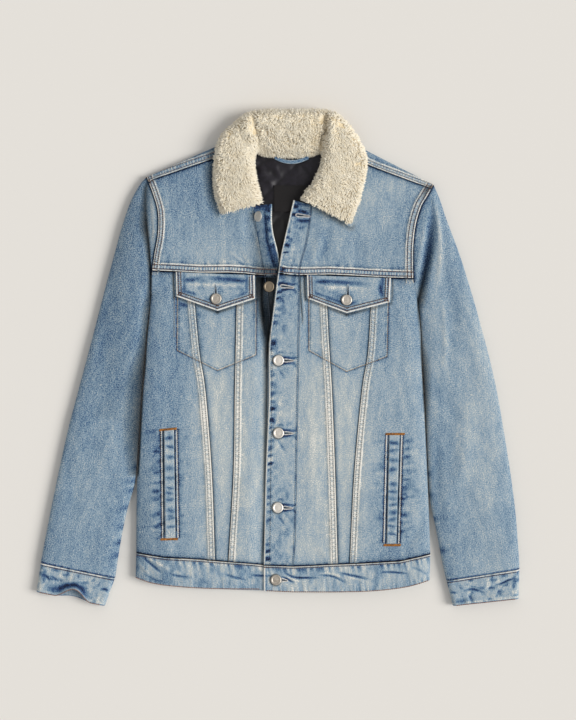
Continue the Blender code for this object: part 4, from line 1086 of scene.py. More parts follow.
# and the dark field round the topmost one, under the collar: indigo, and partly painted shadow of the collar
HOLE_PUCKERS += [([(27, 230), (38, 229), (50, 225)], 3.6, -0.8, 1.3, 0),
                 ([(27, 216), (38, 214), (52, 215)], 3.6, -0.8, 1.2, 0),
                 ([(22, 240), (36, 240), (50, 238)], 3.0, -0.6, 0.9, 0),
                 ([(24, 205), (34, 203), (44, 206)], 3.0, -0.5, 0.6, 0),
                 ([(24, 225), (22, 205), (18, 180)], 2.0, 0.5, 0, 0.7)]


def scatter(points, seed, small, big):
    """Blotches from 0 to 1: a coarse noise that is let through where a finer one is high."""
    x, y = points.T
    return step(noise(x, y, small, seed) + 0.7 * noise(x, y, big, seed + 1), 0.12, 0.85)


def beneath_buttons(points):
    """Shade in a narrow ring round each button, deeper on the side away from the light."""
    shade = np.zeros(len(points))
    for _, x, y, *_ in BUTTONS:
        away = np.linalg.norm(points - (x - 0.7, y - 0.5), axis=1)
        shade = np.maximum(shade, 0.75 * bell(away - BUTTON_RADIUS, 1.5))
    return shade


def placket_wear(points, z, under, marks):
    """Puckers and marks of the placket: the strip 2 to 13 mm inside its folded edge is mottled."""
    s, t, _ = near(points, flip(PLACKET_EDGE))
    right = near(points, PLACKET_LINE)[0]
    strip = step(s, 1.6, 3) * (1 - step(s, 8, 14)) * (0.45 + 0.55 * step(noise(t, 0 * t, 30, 504), -0.5, 0.3))
    puckers = noise(t + 0.4 * s, s * 0.35, 4.4, 501) + 0.45 * np.sin(t / 2 + 3 * noise(t, 0 * t, 30, 502))
    fold, fold_blue, fold_worn = press(points, HOLE_PUCKERS)
    z = z + 0.55 * puckers * (strip + 0.25) + 0.3 * noise(points[:, 0], points[:, 1], 15, 503) + fold
    mottle = scatter(points * (1, 0.8), 510, 5.5, 17)
    marks["pale"] = marks["pale"] + 0.12 * step(s, 12, 20)
    marks["blue"] = np.maximum.reduce([marks["blue"], strip * step(-puckers, -0.3, 1.0) * 1.5,
                                       0.35 * mottle * step(s, 3, 10), fold_blue])
    marks["worn"] = np.maximum.reduce([marks["worn"], strip * step(puckers, 0.1, 1.0) * 0.75,
                                       0.6 * bell(s - 17, 5) * scatter(points, 515, 8, 20), fold_worn])
    wide = 0.9 * step(points[:, 1], 125, 150)
    edge = 1 - step(s, 1.2 + wide, 2.0 + wide)
    marks["blue"] *= 1 - edge
    marks["worn"] = np.maximum(marks["worn"], 1.5 * edge)
    # Painted shade on the placket: a thin band at its folded edge and a shadow ring round each button. Below,
    # the lip taken from the placket's seam makes the material draw a painted shadow line along that seam.
    marks["shade"] = np.maximum.reduce([marks["shade"] * step(s, 2, 4), 0.35 * (1 - step(s, 0.2, 0.7)),
                                        beneath_buttons(points)])
    closer = np.abs(right) < np.abs(marks["lip"])
    marks["lip"] = np.where(closer, -right, marks["lip"])
    marks["edge"] = np.where(closer & (np.abs(right) < 6), 0.45, marks["edge"])
    return z + 0.4, under + 3.3


def band_wear(points, z, under, marks):
    """The button band lies level under the placket and stays darker, as the wash missed it."""
    s, t, _ = near(points, BAND_EDGE)
    ripple = noise(t, s * 0.3, 6, 521)
    level = BAND_TOP + 0.35 * ripple + 1.0 * bell(s - 2.5, 2.5) + relief(points, SEAMS[:1])[0]
    top = step(points[:, 1], 120, 150)
    roll = near(points, smooth([(-20, 222), (-17, 185), (-11, 160), (-5, 143)]))[0]
    level = level + top * (1.6 * bell(roll - 4, 4) - 1.0 * bell(roll, 2.5))
    inner = step(s, 1.6, 4.0) * (1 - step(s, 9, 16)) * step(points[:, 1], 138, 146)
    # The indigo band at the top, under the collar, is partly painted shadow of the collar.
    marks["blue"] = np.maximum.reduce([inner * (0.7 + 0.45 * ripple), 0.9 * bell(roll, 2.5) * top,
                                       0.4 * scatter(points, 525, 5, 14) * top,
                                       0.9 * bell(points[:, 1] - 238, 7)])
    marks["worn"] = top * (1.6 * (1 - step(s, 1.2, 2.4)) + 0.6 * bell(s - 5, 1.5) * step(-ripple, 0, 0.5)
                           + 0.35 * bell(roll - 5, 2.5))
    marks["edge"] *= 0.6
    marks["pale"] = marks["pale"] * 0.6
    return level, np.full(len(points), FRONT_UNDER)


ends = [np.array([PLACKET_EDGE[k], PLACKET_LINE[k]]) for k in (0, -1)]
front_piece("denim_placket", "placket", (*ends, PLACKET_EDGE, PLACKET_LINE), "btlr", gap=1.7,
            extra=placket_wear)
ends = [np.array([BAND_LINE[k], BAND_EDGE[k]]) for k in (0, -1)]
front_piece("denim_button_band", "button_band", (*ends, BAND_LINE, BAND_EDGE), "btlr", gap=1.7,
            extra=band_wear)

# %% Waistband
HEM_R = smooth([HEM_CORNER_R, (-187, -352), (-121, -358), (-28, -360), (11, -361)])
HEM_L = chain(corners([(-22, -362), (24, -364)]),
              smooth([(24, -364), (97, -364), (154, -362), (201, -356), HEM_CORNER_L]))
# Long slanting creases of the waistband. Columns: points, width, height, indigo, wear
HEM_CREASES = [
    ([(-214, -304), (-199, -319), (-178, -336)], 2.4, -1.5, 0.9, 0),
    ([(-206, -306), (-190, -317), (-168, -329)], 3.0, 1.0, 0, 0.6),
    ([(-221, -312), (-212, -324), (-196, -338)], 2.6, 0.9, 0, 0.4),
    ([(-173, -335), (-152, -339), (-134, -341)], 2.2, -1.2, 0.7, 0),
    ([(-87, -334), (-66, -341), (-46, -345)], 2.3, -1.2, 0.7, 0),
    ([(-46, -337), (-28, -338.5), (-8, -338)], 2.0, -1.6, 1.0, 0),
    ([(6, -331), (24, -340), (42, -341.5), (66, -341)], 2.1, -1.7, 1.1, 0),
    ([(4, -339), (14, -343), (26, -350)], 1.9, -1.5, 1.1, 0),
    ([(9, -336), (22, -343.8), (36, -347)], 1.6, 0.7, 0, 0.8),
    ([(60, -337), (84, -339), (108, -350)], 1.8, -1.3, 0.85, 0),
    ([(62, -334), (86, -335.5), (110, -345)], 1.8, 0.7, 0, 0.6),
    ([(90, -332), (112, -337), (144, -344)], 2.0, -1.5, 0.95, 0),
    ([(96, -336), (118, -342), (140, -348)], 2.2, 0.8, 0, 0.5),
    ([(156, -333), (176, -332.5), (204, -335)], 2.0, -1.4, 0.95, 0),
    ([(-210, -334), (-190, -345), (-168, -349)], 2.6, -0.8, 0.5, 0),
    ([(206, -324), (222, -330), (233, -338)], 2.2, -0.8, 0.45, 0),
]


def waist_wear(hem_line, drop):
    """Puckers of the waistband: short upright ones under the seam and over the hem."""
    def wear(points, z, under, marks):
        x, y = points.T
        hem = np.interp(x, hem_line[:, 0], hem_line[:, 1])
        s = y - hem
        fold, blue, worn = press(points, HEM_CREASES)
        upright = noise(x + 0.15 * y, y * 0.18, 2.1, 541)
        near_hem = np.exp(-(np.maximum(s, 0) / 13) ** 2) * (0.6 + 0.4 * noise(x, 0 * x, 30, 543))
        z = np.minimum(z, WAIST_TOP + 1.0 + 0.4 * upright) + fold + 0.45 * upright * near_hem - drop(x)
        below = marks["lip"] - 4.5
        comb = noise(x + 0.25 * y, 0 * x, 3.4, 548)
        pins = np.exp(-np.maximum(below, 0) / 7) * step(below, -0.8, 0.4) * step(comb, 0.0, 0.5)
        mottle = scatter(points * (1, 0.6), 546, 6, 21)
        marks["blue"] = np.maximum.reduce([marks["blue"] * (marks["lip"] < 0), 1.5 * blue, 0.4 * mottle,
                                           0.95 * pins, 0.7 * near_hem * step(-upright, -0.25, 0.6)])
        marks["worn"] = np.maximum.reduce([marks["worn"], 1.4 * worn,
                                           0.3 * step(upright, 0.25, 0.8) * near_hem,
                                           0.6 * np.exp(-np.maximum(below, 0) / 10) * step(-comb, 0.0, 0.6)])
        marks["shade"] = np.maximum(marks["shade"], beneath_buttons(points))
        marks["pale"] = (0.71 + 0.12 * bell(x - 60, 80) - 0.22 * step(-x, 110, 200)
                         + 0.14 * noise(x, y, 26, 549))
        return z, under
    return wear


def over_end(points, z, under, marks):
    """The wearer's left end lies over the right one, so its underside starts higher."""
    z, under = waist_wear(HEM_L, lambda x: 0 * x)(points, z, under, marks)
    low = 12.7 - 2.7 * np.clip((points[:, 0] - 13) / 6, 0, 1)
    s = np.abs(near(points, np.array([(-22, -362.0), (-22, -324)]))[0])
    marks["worn"] = np.maximum(marks["worn"], 1.3 * (1 - step(s, 1.6, 2.6)))
    marks["blue"] = np.maximum(marks["blue"] * step(s, 1.6, 2.8), 0.8 * bell(s - 4, 1.6))
    return z, np.maximum(under, np.where(under > 9.5, low, under))


seam = chain(WAIST_R, np.array([WAIST_R[-1], BAND_EDGE[0]]))
front_piece("denim_waist_r", "waistband_front_r",
            (HEM_R, seam, np.array([HEM_CORNER_R, WAIST_R[0]], float),
             np.array([HEM_R[-1], seam[-1]])), "btr", gap=1.5,
            extra=waist_wear(HEM_R, lambda x: 3.1 * np.clip((x + 66) / 26, 0, 1)))
front_piece("denim_waist_l", "waistband_front_l",
            (HEM_L, WAIST_L, np.array([HEM_L[0], WAIST_L[0]]),
             np.array([HEM_CORNER_L, WAIST_L[-1]], float)), "btl", gap=1.5,
            extra=over_end)

# %% [markdown]
# ## Sleeves
#
# Each sleeve is a tube pressed flat: an upper and an under panel that meet at its two folds.
# The rows of the grid run across it, from the outer fold to the inner one, so that the grain
# follows the arm. The head is short outside and long inside, so the rows fan out there.

# %% Sleeves
OUTER_UNDERARM = {"r": 0.30, "l": 0.33}      # share of the outer fold above the underarm
# Columns: place along the inner fold in y, size: indigo puckers of the underarm seam
UNDERARM_PUCKERS = {"r": [-170, -190, -205, -232, -262, -286, -306], "l": [-180, -214, -250, -300]}


def sleeve_grid(side, armhole, outer, inner, across):
    """Rows from the outer to the inner fold; along the head they fan as share ** 1.15."""
    inner_line = chain(armhole, inner)
    length = run_of(inner_line)[-1]
    v = spread(length, 2.4, (True, True))
    head = run_of(armhole)[-1] / length
    start = OUTER_UNDERARM[side]
    below = start + (1 - start) * (v - head) / (1 - head)
    outer_share = np.where(v <= head, start * (v / head) ** 1.15, below)
    a = at(outer, outer_share)
    b = at(inner_line, v)
    a[0] += np.array([-1.5, 2.0]) if side == "r" else np.array([1.5, 2.0])
    grid = (1 - across[None, :, None]) * a[:, None] + across[None, :, None] * b[:, None]
    middle = np.stack([np.cumsum(np.append(0, np.linalg.norm(np.diff((a + b) / 2, axis=0), axis=1)))
                       * MM] * len(across), 1)
    width = np.linalg.norm(b - a, axis=1)[:, None] * (across[None] - 0.5) * MM
    return grid, np.stack([width.ravel(), -middle.ravel()], 1)


def sleeve(side, armhole, outer, inner):
    """Upper and under panel of one sleeve, as two closed slabs over one plan."""
    folds = SLEEVE_FOLDS[side]
    t = np.linspace(0, 1, 52)
    across = 0.5 - 0.5 * np.cos(math.pi * t)
    across = 0.45 * across + 0.55 * t
    grid, cloth = sleeve_grid(side, armhole, outer, inner, across)
    points = grid.reshape(-1, 2)
    z, under, marks = front_height(points, folds)
    s = near(points, inner)[0]
    for y in UNDERARM_PUCKERS[side]:
        spot = bell(points[:, 1] - y - 0.2 * s, 4.5) * np.exp(-np.abs(s) / 8)
        marks["blue"] = np.maximum(marks["blue"], 0.75 * spot)
        z = z - 1.2 * spot
    marks["worn"] = np.maximum(marks["worn"], 0.3 * bell(np.abs(s) - 1, 1.6) * (points[:, 1] < 60))
    low = np.minimum(points[:, 1] - np.interp(points[:, 0], *cuff_seam(side)), FAR)
    marks["lip"] = np.where(low < 4, np.minimum(-low, marks["lip"]), marks["lip"])
    marks["edge"] = np.where(low < 6, 0.8, marks["edge"])
    z = z - rounded(grid, "b").ravel()
    piece = slab("denim_sleeve_" + side, grid, z, under, marks, DENIM, cloth)
    finish_cloth(piece, ["sleeve_top_" + side], grid)
    d = nearest(points, folds)
    seat = FOLD_MID - LAY_GAP
    top = seat - (seat - BACK_WALL) * wall_share(d)
    low = (seat - 1) * (1 - rise(d, 12.0)) + 0.25 * (1 + noise(*points.T, 30, 61)) * step(d, 4, 12)
    pick = np.ix_(thinned(grid.shape[0], 2), thinned(grid.shape[1], 2))
    kept = np.arange(len(points)).reshape(grid.shape[:2])[pick].ravel()
    marks = {mark: values[kept] for mark, values in marks.items()}
    piece = slab("denim_undersleeve_" + side, grid[pick], top[kept], low[kept], marks, DENIM,
                 cloth[kept], stride=1)
    finish_cloth(piece, ["sleeve_under_" + side], grid)


def cuff_seam(side):
    """The cuff seam as x and y arrays, rising in x."""
    ends = np.array([OUTER_R[-1], INNER_R[-1]] if side == "r" else [INNER_L[-1], OUTER_L[-1]])
    return ends[:, 0], ends[:, 1]


sleeve("r", ARMHOLE_R, OUTER_R, INNER_R)
sleeve("l", ARMHOLE_L, OUTER_L, INNER_L)

# %% [markdown]
# ## The back
#
# The back hardly shows, but it carries everything: a yoke that runs over both shoulders, one
# wide panel and a waistband. Its underside is flat where it rests on the floor and curls up to
# meet the front at the folds.

# %% Back pieces
BACK_YOKE = np.array([YOKE_R[0], YOKE_L[-1]])
BACK_WAIST = np.array([WAIST_R[0], WAIST_L[-1]])
BACK_SEAMS = [(BACK_YOKE, 11.5, 0.25, 0.1, 7, 7, 9, 0.45, 0.6, 4.6, 0.8, 0.4, 2.5),
              (flip(BACK_WAIST), 4.6, 0.25, 0.1, 9, 14, 6, 0.7, 0, 9, 0.8, 0.4, 2.5)]
HEM_BACK = smooth([HEM_CORNER_R, (-187, -352), (-90, -360), (20, -363), (110, -362),
                   (201, -356), HEM_CORNER_L])


def back_piece(name, node, lines):
    """One panel of the back: its under face is what a person who lifts the jacket sees."""
    bottom, top, left, right = lines
    u = spread(run_of(bottom)[-1], 5.0, (True, True))
    v = spread(max(run_of(left)[-1], run_of(right)[-1]), 5.0, (True, True))
    grid = patch(bottom, top, left, right, u, v)
    points = grid.reshape(-1, 2)
    d = nearest(points, BODY_FOLDS)
    seat = FOLD_MID - LAY_GAP
    z = seat - (seat - BACK_WALL) * wall_share(d)
    ridge, marks = relief(points, BACK_SEAMS)
    under = (seat - 1) * (1 - rise(d, 12.0))
    hollow = 0.3 * (1 + noise(*points.T, 42, 71)) + 0.15 * (1 + noise(*points.T, 16, 72))
    under = under + step(d, 4, 14) * np.clip(hollow - 0.6 * ridge, 0, 1.2)
    marks["pale"] = 0.45 + 0.2 * noise(*points.T, 60, 73)
    piece = slab(name, grid, z, np.minimum(under, z - 1), marks, DENIM, cloth_plan(grid), stride=1)
    finish_cloth(piece, [node], grid)


ridge_line = chain(corners([ARMHOLE_R[0], NECK_BACK[0]]), NECK_BACK,
                   corners([NECK_BACK[-1], ARMHOLE_L[0]]))
back_piece("denim_back_yoke", "back_yoke",
           (BACK_YOKE, ridge_line, flip(ARMHOLE_R[:YOKE_ROW + 1]), flip(ARMHOLE_L[:YOKE_ROW + 1])))
back_piece("denim_back", "back_panel", (BACK_WAIST, BACK_YOKE, TRUNK_R, TRUNK_L))
back_piece("denim_waist_back", "waistband_back",
           (HEM_BACK, BACK_WAIST, np.array([HEM_CORNER_R, WAIST_R[0]], float),
            np.array([HEM_CORNER_L, WAIST_L[-1]], float)))

# %% The yoke over the shoulders
for side, fold, seam_line in (("r", SHOULDER_FOLD_R, SHOULDER_SEAM_R),
                              ("l", flip(SHOULDER_FOLD_L), flip(SHOULDER_SEAM_L))):
    front_piece("denim_shoulder_" + side, "back_yoke",
                (seam_line, fold, np.array([seam_line[0], fold[0]]),
                 np.array([seam_line[-1], fold[-1]])), "blr", gap=1.7)

# %% [markdown]
# ## Cuffs
#
# A cuff is a short flattened tube, sewn on with its folded edge towards the sleeve. Its section
# is a racetrack: a flat top, a flat bottom and two half circles. The wall goes down the outside,
# round the mouth and back up the inside, so the surface closes like a ring doughnut. The upper
# layer of the wearer's right cuff arches up and shows the layer beneath.

# %% Cuffs
CUFF_HEIGHT = 14.0
CUFF_WALL = 4.6
CUFF_ENDS = {"r": np.array([(-377, -364), (-270, -386)], float),
             "l": np.array([(376, -375), (273, -386)], float)}
CUFF_ARCH = {"r": (5.0, 12.0), "l": (0.0, 0.0)}      # lift and pull-back of the arched layer
LOWER_PULL = 0.35                                    # share of that pull in both layers
# Columns: points as (share across from the outer fold, share down), width, height, indigo, wear
CUFF_FOLDS = {
    "r": [([(0.02, 0.42), (0.10, 0.40), (0.17, 0.55)], 2.3, -1.6, 0.95, 0),
          ([(0.16, 0.36), (0.24, 0.44), (0.30, 0.52)], 1.8, -1.2, 0.8, 0),
          ([(0.27, 0.38), (0.34, 0.50)], 1.8, -1.0, 0.7, 0),
          ([(0.12, 0.78), (0.28, 0.78), (0.42, 0.66), (0.56, 0.66), (0.67, 0.82), (0.76, 1.0)],
           9.0, -2.2, 0.95, 0),
          ([(0.34, 0.50), (0.48, 0.44), (0.62, 0.52)], 4.0, 1.5, 0, 0.3),
          ([(0.86, 0.46), (0.93, 0.44), (0.98, 0.50)], 2.4, -1.2, 0.9, 0),
          ([(0.52, 0.12), (0.53, 0.30)], 1.9, -0.6, 0.5, 0),
          ([(0.73, 0.16), (0.75, 0.26)], 1.8, -0.5, 0.45, 0)],
    "l": [([(0.02, 0.30), (0.14, 0.31), (0.26, 0.40), (0.36, 0.42)], 1.9, -1.5, 0.95, 0),
          ([(0.34, 0.52), (0.42, 0.50), (0.47, 0.56)], 2.2, -1.0, 0.8, 0),
          ([(0.50, 0.68), (0.58, 0.55), (0.68, 0.45), (0.78, 0.48)], 3.0, -1.7, 0.85, 0),
          ([(0.52, 0.60), (0.62, 0.44), (0.72, 0.38)], 2.6, 1.3, 0, 0.4),
          ([(0.70, 0.98), (0.72, 0.70), (0.70, 0.58)], 2.6, -1.6, 0.7, 0),
          ([(0.82, 0.98), (0.83, 0.72)], 2.4, -1.4, 0.6, 0),
          ([(0.90, 0.52), (0.99, 0.45)], 2.2, -1.1, 0.75, 0),
          ([(0.78, 0.92), (0.88, 0.86), (0.97, 0.84)], 6.0, -0.8, 0.6, 0),
          ([(0.24, 0.70), (0.30, 0.66), (0.26, 0.84)], 2.6, -0.9, 0.7, 0),
          ([(0.40, 0.88), (0.48, 0.90)], 2.0, -0.8, 0.6, 0),
          ([(0.02, 0.86), (0.10, 0.84)], 2.2, -0.8, 0.6, 0),
          ([(0.64, 0.14), (0.72, 0.12)], 2.2, -0.8, 0.6, 0)],
}


def racetrack(count):
    """Unit section as (share across, side, height): share runs 0 to 1 over the top, the half
    circles are cos and sin of an angle, and the bottom runs back."""
    flat_steps, round_steps = count
    straight_run = np.linspace(0, 1, flat_steps, endpoint=False)
    turn = np.linspace(math.pi / 2, -math.pi / 2, round_steps, endpoint=False)
    share = np.concatenate([straight_run, np.ones(round_steps), 1 - straight_run,
                            np.zeros(round_steps)])
    side = np.concatenate([0 * straight_run, np.cos(turn), 0 * straight_run, -np.cos(turn)])
    up = np.concatenate([1 + 0 * straight_run, np.sin(turn), -1 + 0 * straight_run, -np.sin(turn)])
    return share, side, up


def arch(reach):
    """Where across its mouth a cuff arches: a sine squared that starts and ends level."""
    return np.sin(math.pi * np.clip((reach - 0.26) / 0.54, 0, 1)) ** 2


def cuff(side, seam_outer, seam_inner):
    """Rings along the wall's profile: down the outside, over the mouth, up the inside."""
    start = np.array([seam_outer, seam_inner])
    stop = CUFF_ENDS[side]
    along = (stop - start).mean(axis=0)
    length = np.linalg.norm(along)
    along /= length
    down = np.concatenate([[0.012, 0.02, 0.035], np.linspace(0.06, 0.97, 27), [0.985, 0.996, 1.0],
                           [0.996, 0.985], np.linspace(0.95, 0.05, 8), [0.02, 0.012]])
    inset = np.concatenate([[1.6, 0.7, 0.15], np.zeros(27), [0.3, 0.9, 2.3],
                            [3.7, 4.4], np.full(8, CUFF_WALL), [3.9, 3.0]])
    share, out, up = racetrack((56, 9))
    t, inset = down[:, None], inset[:, None]
    middle = CUFF_HEIGHT / 2
    radius = middle - inset
    a = (1 - down)[:, None] * start[0] + down[:, None] * stop[0]
    b = (1 - down)[:, None] * start[1] + down[:, None] * stop[1]
    width = np.linalg.norm(b - a, axis=1)[:, None]
    reach = (middle + share[None] * (width - CUFF_HEIGHT) + out[None] * radius) / width
    lift, pull = CUFF_ARCH[side]
    hump = arch(reach)
    bump = hump * np.clip(up[None], 0, 1)
    plan = a[:, None] + reach[..., None] * (b - a)[:, None]
    plan = plan - along * (pull * t * t * (bump + LOWER_PULL * hump))[..., None]
    z = middle + radius * up[None] + lift * t * t * bump
    unit = np.stack([reach * 100, np.broadcast_to(t * 45, reach.shape)], -1).reshape(-1, 2)
    folds = [([(p * 100, q * 45) for p, q in rows], *rest) for rows, *rest in CUFF_FOLDS[side]]
    crease, blue, worn = press(unit, folds)
    upright = noise(unit[:, 0], unit[:, 1] * 0.25, 2.8, 561)
    near_seam = np.exp(-unit[:, 1] / 9) * (0.5 + 0.5 * noise(unit[:, 0], 0 * unit[:, 0], 22, 562))
    near_hem = np.exp(-(45 - unit[:, 1]) / 6)
    facing = (np.clip(up, 0, 1)[None] * np.where(inset < 1.5, 1, 0)).ravel()
    band = 1.2 * step(unit[:, 1], 0.3, 1.0) * (1 - step(unit[:, 1], 3.6, 5.0))
    hem = 0.8 * (1 - step(45 - unit[:, 1], 9.5, 11))
    height = crease + 0.45 * upright * (near_seam + near_hem) + band + hem - 0.4
    height += 0.4 * noise(unit[:, 0], unit[:, 1], 14, 563)
    z = z + (height * facing).reshape(z.shape)
    rows, columns = z.shape
    k = np.arange(rows * columns).reshape(rows, columns)
    right, lower = np.roll(k, -1, 1), np.roll(k, -1, 0)
    both = np.roll(right, -1, 0)
    quads = np.stack([k, right, both, lower], -1).reshape(-1, 4)
    if side == "r":
        quads = quads[:, ::-1]
    mottle = scatter(unit, 565, 5, 15)
    hidden = np.where(facing > 0, 1.0, 0.3)
    marks = no_seam(unit, 0.64)
    marks["blue"] = hidden * np.maximum.reduce([1.6 * blue, 0.7 * mottle,
                                                0.9 * near_seam * step(-upright, 0.1, 0.9)])
    marks["worn"] = hidden * np.maximum.reduce([1.6 * worn, 0.5 * step(upright, 0.2, 0.8)])
    marks["lip"] = np.where(unit[:, 1] < 20, unit[:, 1] - 0.8, FAR)
    marks["edge"] = np.full(len(unit), 0.9)
    marks["blue"] = np.maximum(marks["blue"], 0.8 * bell(unit[:, 1] - 44.6, 1.2))
    marks["worn"] = np.maximum(marks["worn"], 0.7 * bell(unit[:, 1] - 41.5, 1.4) * hidden)
    cloth = unit * MM * (np.linalg.norm(start[1] - start[0]) / 100, length / 45)
    points = np.column_stack([plan.reshape(-1, 2), z.ravel()])
    piece = new_mesh("denim_cuff_" + side, points, quads, DENIM, marks, cloth)
    join_frame(piece, "denim", "cuff_" + side)
    across = np.linspace(0.05, 0.95, 60)[:, None]
    return stop[0] + across * (stop[1] - stop[0]) - along * pull * (1 + LOWER_PULL) * arch(across)


mouths = {"r": cuff("r", OUTER_R[-1], INNER_R[-1]), "l": flip(cuff("l", OUTER_L[-1], INNER_L[-1]))}

# %% [markdown]
# ## Flaps and welts
#
# A chest pocket shows only as its flap and the stitching of its bag. The flap is three layers
# of denim, stitched twice round its edge. A hand pocket shows as a narrow welt, open along its
# outer side, with a bartack at either end.

# %% Flaps
# Corners: upper side, lower side, point, lower centre, upper centre
FLAP_R = [(-159, 134.5), (-158, 96.5), (-94, 74), (-35.5, 93), (-36, 129.3)]
FLAP_L = [(45, 129.5), (46, 93), (107, 70.5), (174, 87.5), (176, 125)]
FLAP_TOP = BODY_TOP + 3.0
# Indigo dashes along the top of each flap, where it bends. Columns: points, width, height, indigo, wear
FLAP_MARKS = {
    "r": [([(-153, 123), (-135, 122), (-117, 126)], 4.6, -0.6, 0.85, 0),
          ([(-114, 126.5), (-85, 123.5), (-68, 123), (-42, 119)], 5.2, -0.7, 0.9, 0),
          ([(-82, 123), (-60, 121), (-46, 120)], 3.4, -0.4, 1.1, 0),
          ([(-149, 130), (-120, 130.5), (-60, 127), (-44, 126)], 1.6, 0.3, 0, 0.5),
          ([(-150, 116.5), (-128, 115.5), (-100, 115), (-46, 112.5)], 4.0, 0.6, 0, 0.85),
          ([(-119, 125), (-117, 104)], 3, -0.3, 0.35, 0), ([(-149, 112), (-147, 98)], 3.5, -0.5, 0.7, 0)],
    "l": [([(52, 119), (70, 120), (92, 119), (140, 115.5)], 5.0, -0.7, 0.9, 0),
          ([(56, 119), (70, 119.5), (86, 119)], 3.4, -0.4, 1.1, 0),
          ([(56, 125), (100, 124), (160, 118)], 1.6, 0.3, 0, 0.5),
          ([(58, 111.5), (98, 110.5), (150, 107)], 4.2, 0.6, 0, 0.75),
          ([(160, 124), (160, 108), (164, 92)], 4.5, -0.6, 1.1, 0),
          ([(134, 112), (128, 98)], 4, 0.4, 0, 0.35)],
}


def trimmed(name, node, grid, edges, outline, top, base, creases, seed, pale, band, edge):
    """A piece that lies on a panel. Its rim is stitched twice, so it wears like a seam's band."""
    points = grid.reshape(-1, 2)
    s, t, _ = near(points, outline)
    s = np.abs(s)
    ripple = noise(t, s * 0.4, 3.1, seed) + 0.5 * noise(t, s, 6.5, seed + 1)
    between = step(s, 2.2, 3.2) * (1 - step(s, band - 3, band - 2))
    crease, blue, worn = press(points, creases)
    z = top + crease + 0.3 * ripple * between - 0.3 * bell(s - 2.6, 0.9) * (edge > 0)
    z = z - 0.5 * bell(s - band - 0.8, 1.4) * (edge > 0) + 0.35 * noise(*points.T, 17, seed + 2)
    marks = no_seam(points, pale)
    marks["shade"] = beneath_buttons(points)
    marks["blue"] = np.maximum.reduce([1.1 * blue, 0.7 * bell(s - 7.9, 0.8) * (edge > 0),
                                       0.9 * bell(s - band - 2.0, 2.4) * (edge > 0)
                                       * step(noise(t, 0 * t, 13, seed + 6), -0.7, 0.5),
                                       0.35 * scatter(points, seed + 3, 6, 18) * step(s, 2, 4)])
    marks["worn"] = np.maximum.reduce([worn, 0.2 * (s < band)])
    marks["lip"], marks["back"], marks["run"] = 0.8 * s, s - band + 5 * step(s, 5, 7), t / 4.6
    marks["rung"], marks["edge"] = 0.5 * edge + 0 * s, edge * (0.85 + 0.35 * noise(t, 0 * t, 12, seed + 5))
    z = z - rounded(grid, edges, 1.3).ravel()
    piece = slab(name, grid, z, base, marks, DENIM, cloth_plan(grid))
    finish_cloth(piece, [node], grid)


def flap(side, rows):
    """Flap between its slanting lower edges and the yoke seam."""
    a, b, c, d, e = [np.array(p, float) for p in rows]
    lower = corners([b, c, d])
    bend = run_of(np.array([b, c, d]))[1] / run_of(lower)[-1]
    u = np.union1d(spread(run_of(lower)[-1], 1.6), [bend])
    v = spread(np.linalg.norm(a - b), 1.6)
    grid = patch(lower, np.array([a, e]), np.array([b, a]), np.array([d, e]), u, v, 0.0)
    outline = corners([a, b, c, d, e])
    trimmed("denim_flap_" + side, "flap_" + side, grid, "blr", outline, FLAP_TOP, BODY_TOP + LAY_GAP,
            FLAP_MARKS[side], 600 if side == "r" else 640, 0.54, 10.8, 1.0)


# %% Welts
# Where the dashes cross a welt, in y from its top, and how thick each is
WELT_DASHES = [(12, 4.0), (25, 3.6), (39, 5.0), (57, 6.0), (76, 4.0), (88, 3.0), (98, 4.6), (108, 3.6),
               (123, 4.8), (133, 4.4), (141, 2.6), (152, 2.8)]


def welt(side, rows):
    """Narrow welt: pale, with short indigo dashes across it at uneven steps."""
    a, b, c, d = [np.array(p, float) for p in rows]
    grid = patch(np.array([d, c]), np.array([a, b]), np.array([d, a]), np.array([c, b]),
                 spread(18, 1.4), spread(np.linalg.norm(a - d), 1.8), 0.0)
    rng = np.random.default_rng(21 if side == "r" else 22)
    dashes = []
    for down, thick in WELT_DASHES:
        share = (down + rng.uniform(-2, 2)) / np.linalg.norm(a - d)
        left, right = (1 - share) * a + share * d, (1 - share) * b + share * c
        lean = rng.uniform(-5, 5)
        first, last = rng.uniform(-0.2, 0.1), rng.uniform(0.9, 1.2)
        dashes.append(([(1 - first) * left + first * right,
                        (1 - last) * left + last * right + (0, lean)],
                       thick * rng.uniform(0.8, 1.1), -0.5, rng.uniform(0.75, 1.1), 0))
    outline = corners([d, a, b, c, d])
    trimmed("denim_welt_" + side, "welt_" + side, grid, "btlr", outline, BODY_TOP + 1.9,
            BODY_TOP + LAY_GAP, dashes, 680 if side == "r" else 700, 0.6, 30.0, 0.0)


for build, right, left in ((flap, FLAP_R, FLAP_L), (welt, WELT_R, WELT_L)):
    build("r", right)
    build("l", left)

# %% [markdown]
# ## Quilted lining, label and hanger loop
#
# Only a wedge of the inside shows. The lining is dark nylon taffeta over wadding, quilted in
# diamonds: between the stitched lines it puffs up. A bare woven label and a hanger loop of the
# jacket's own denim are sewn to it.

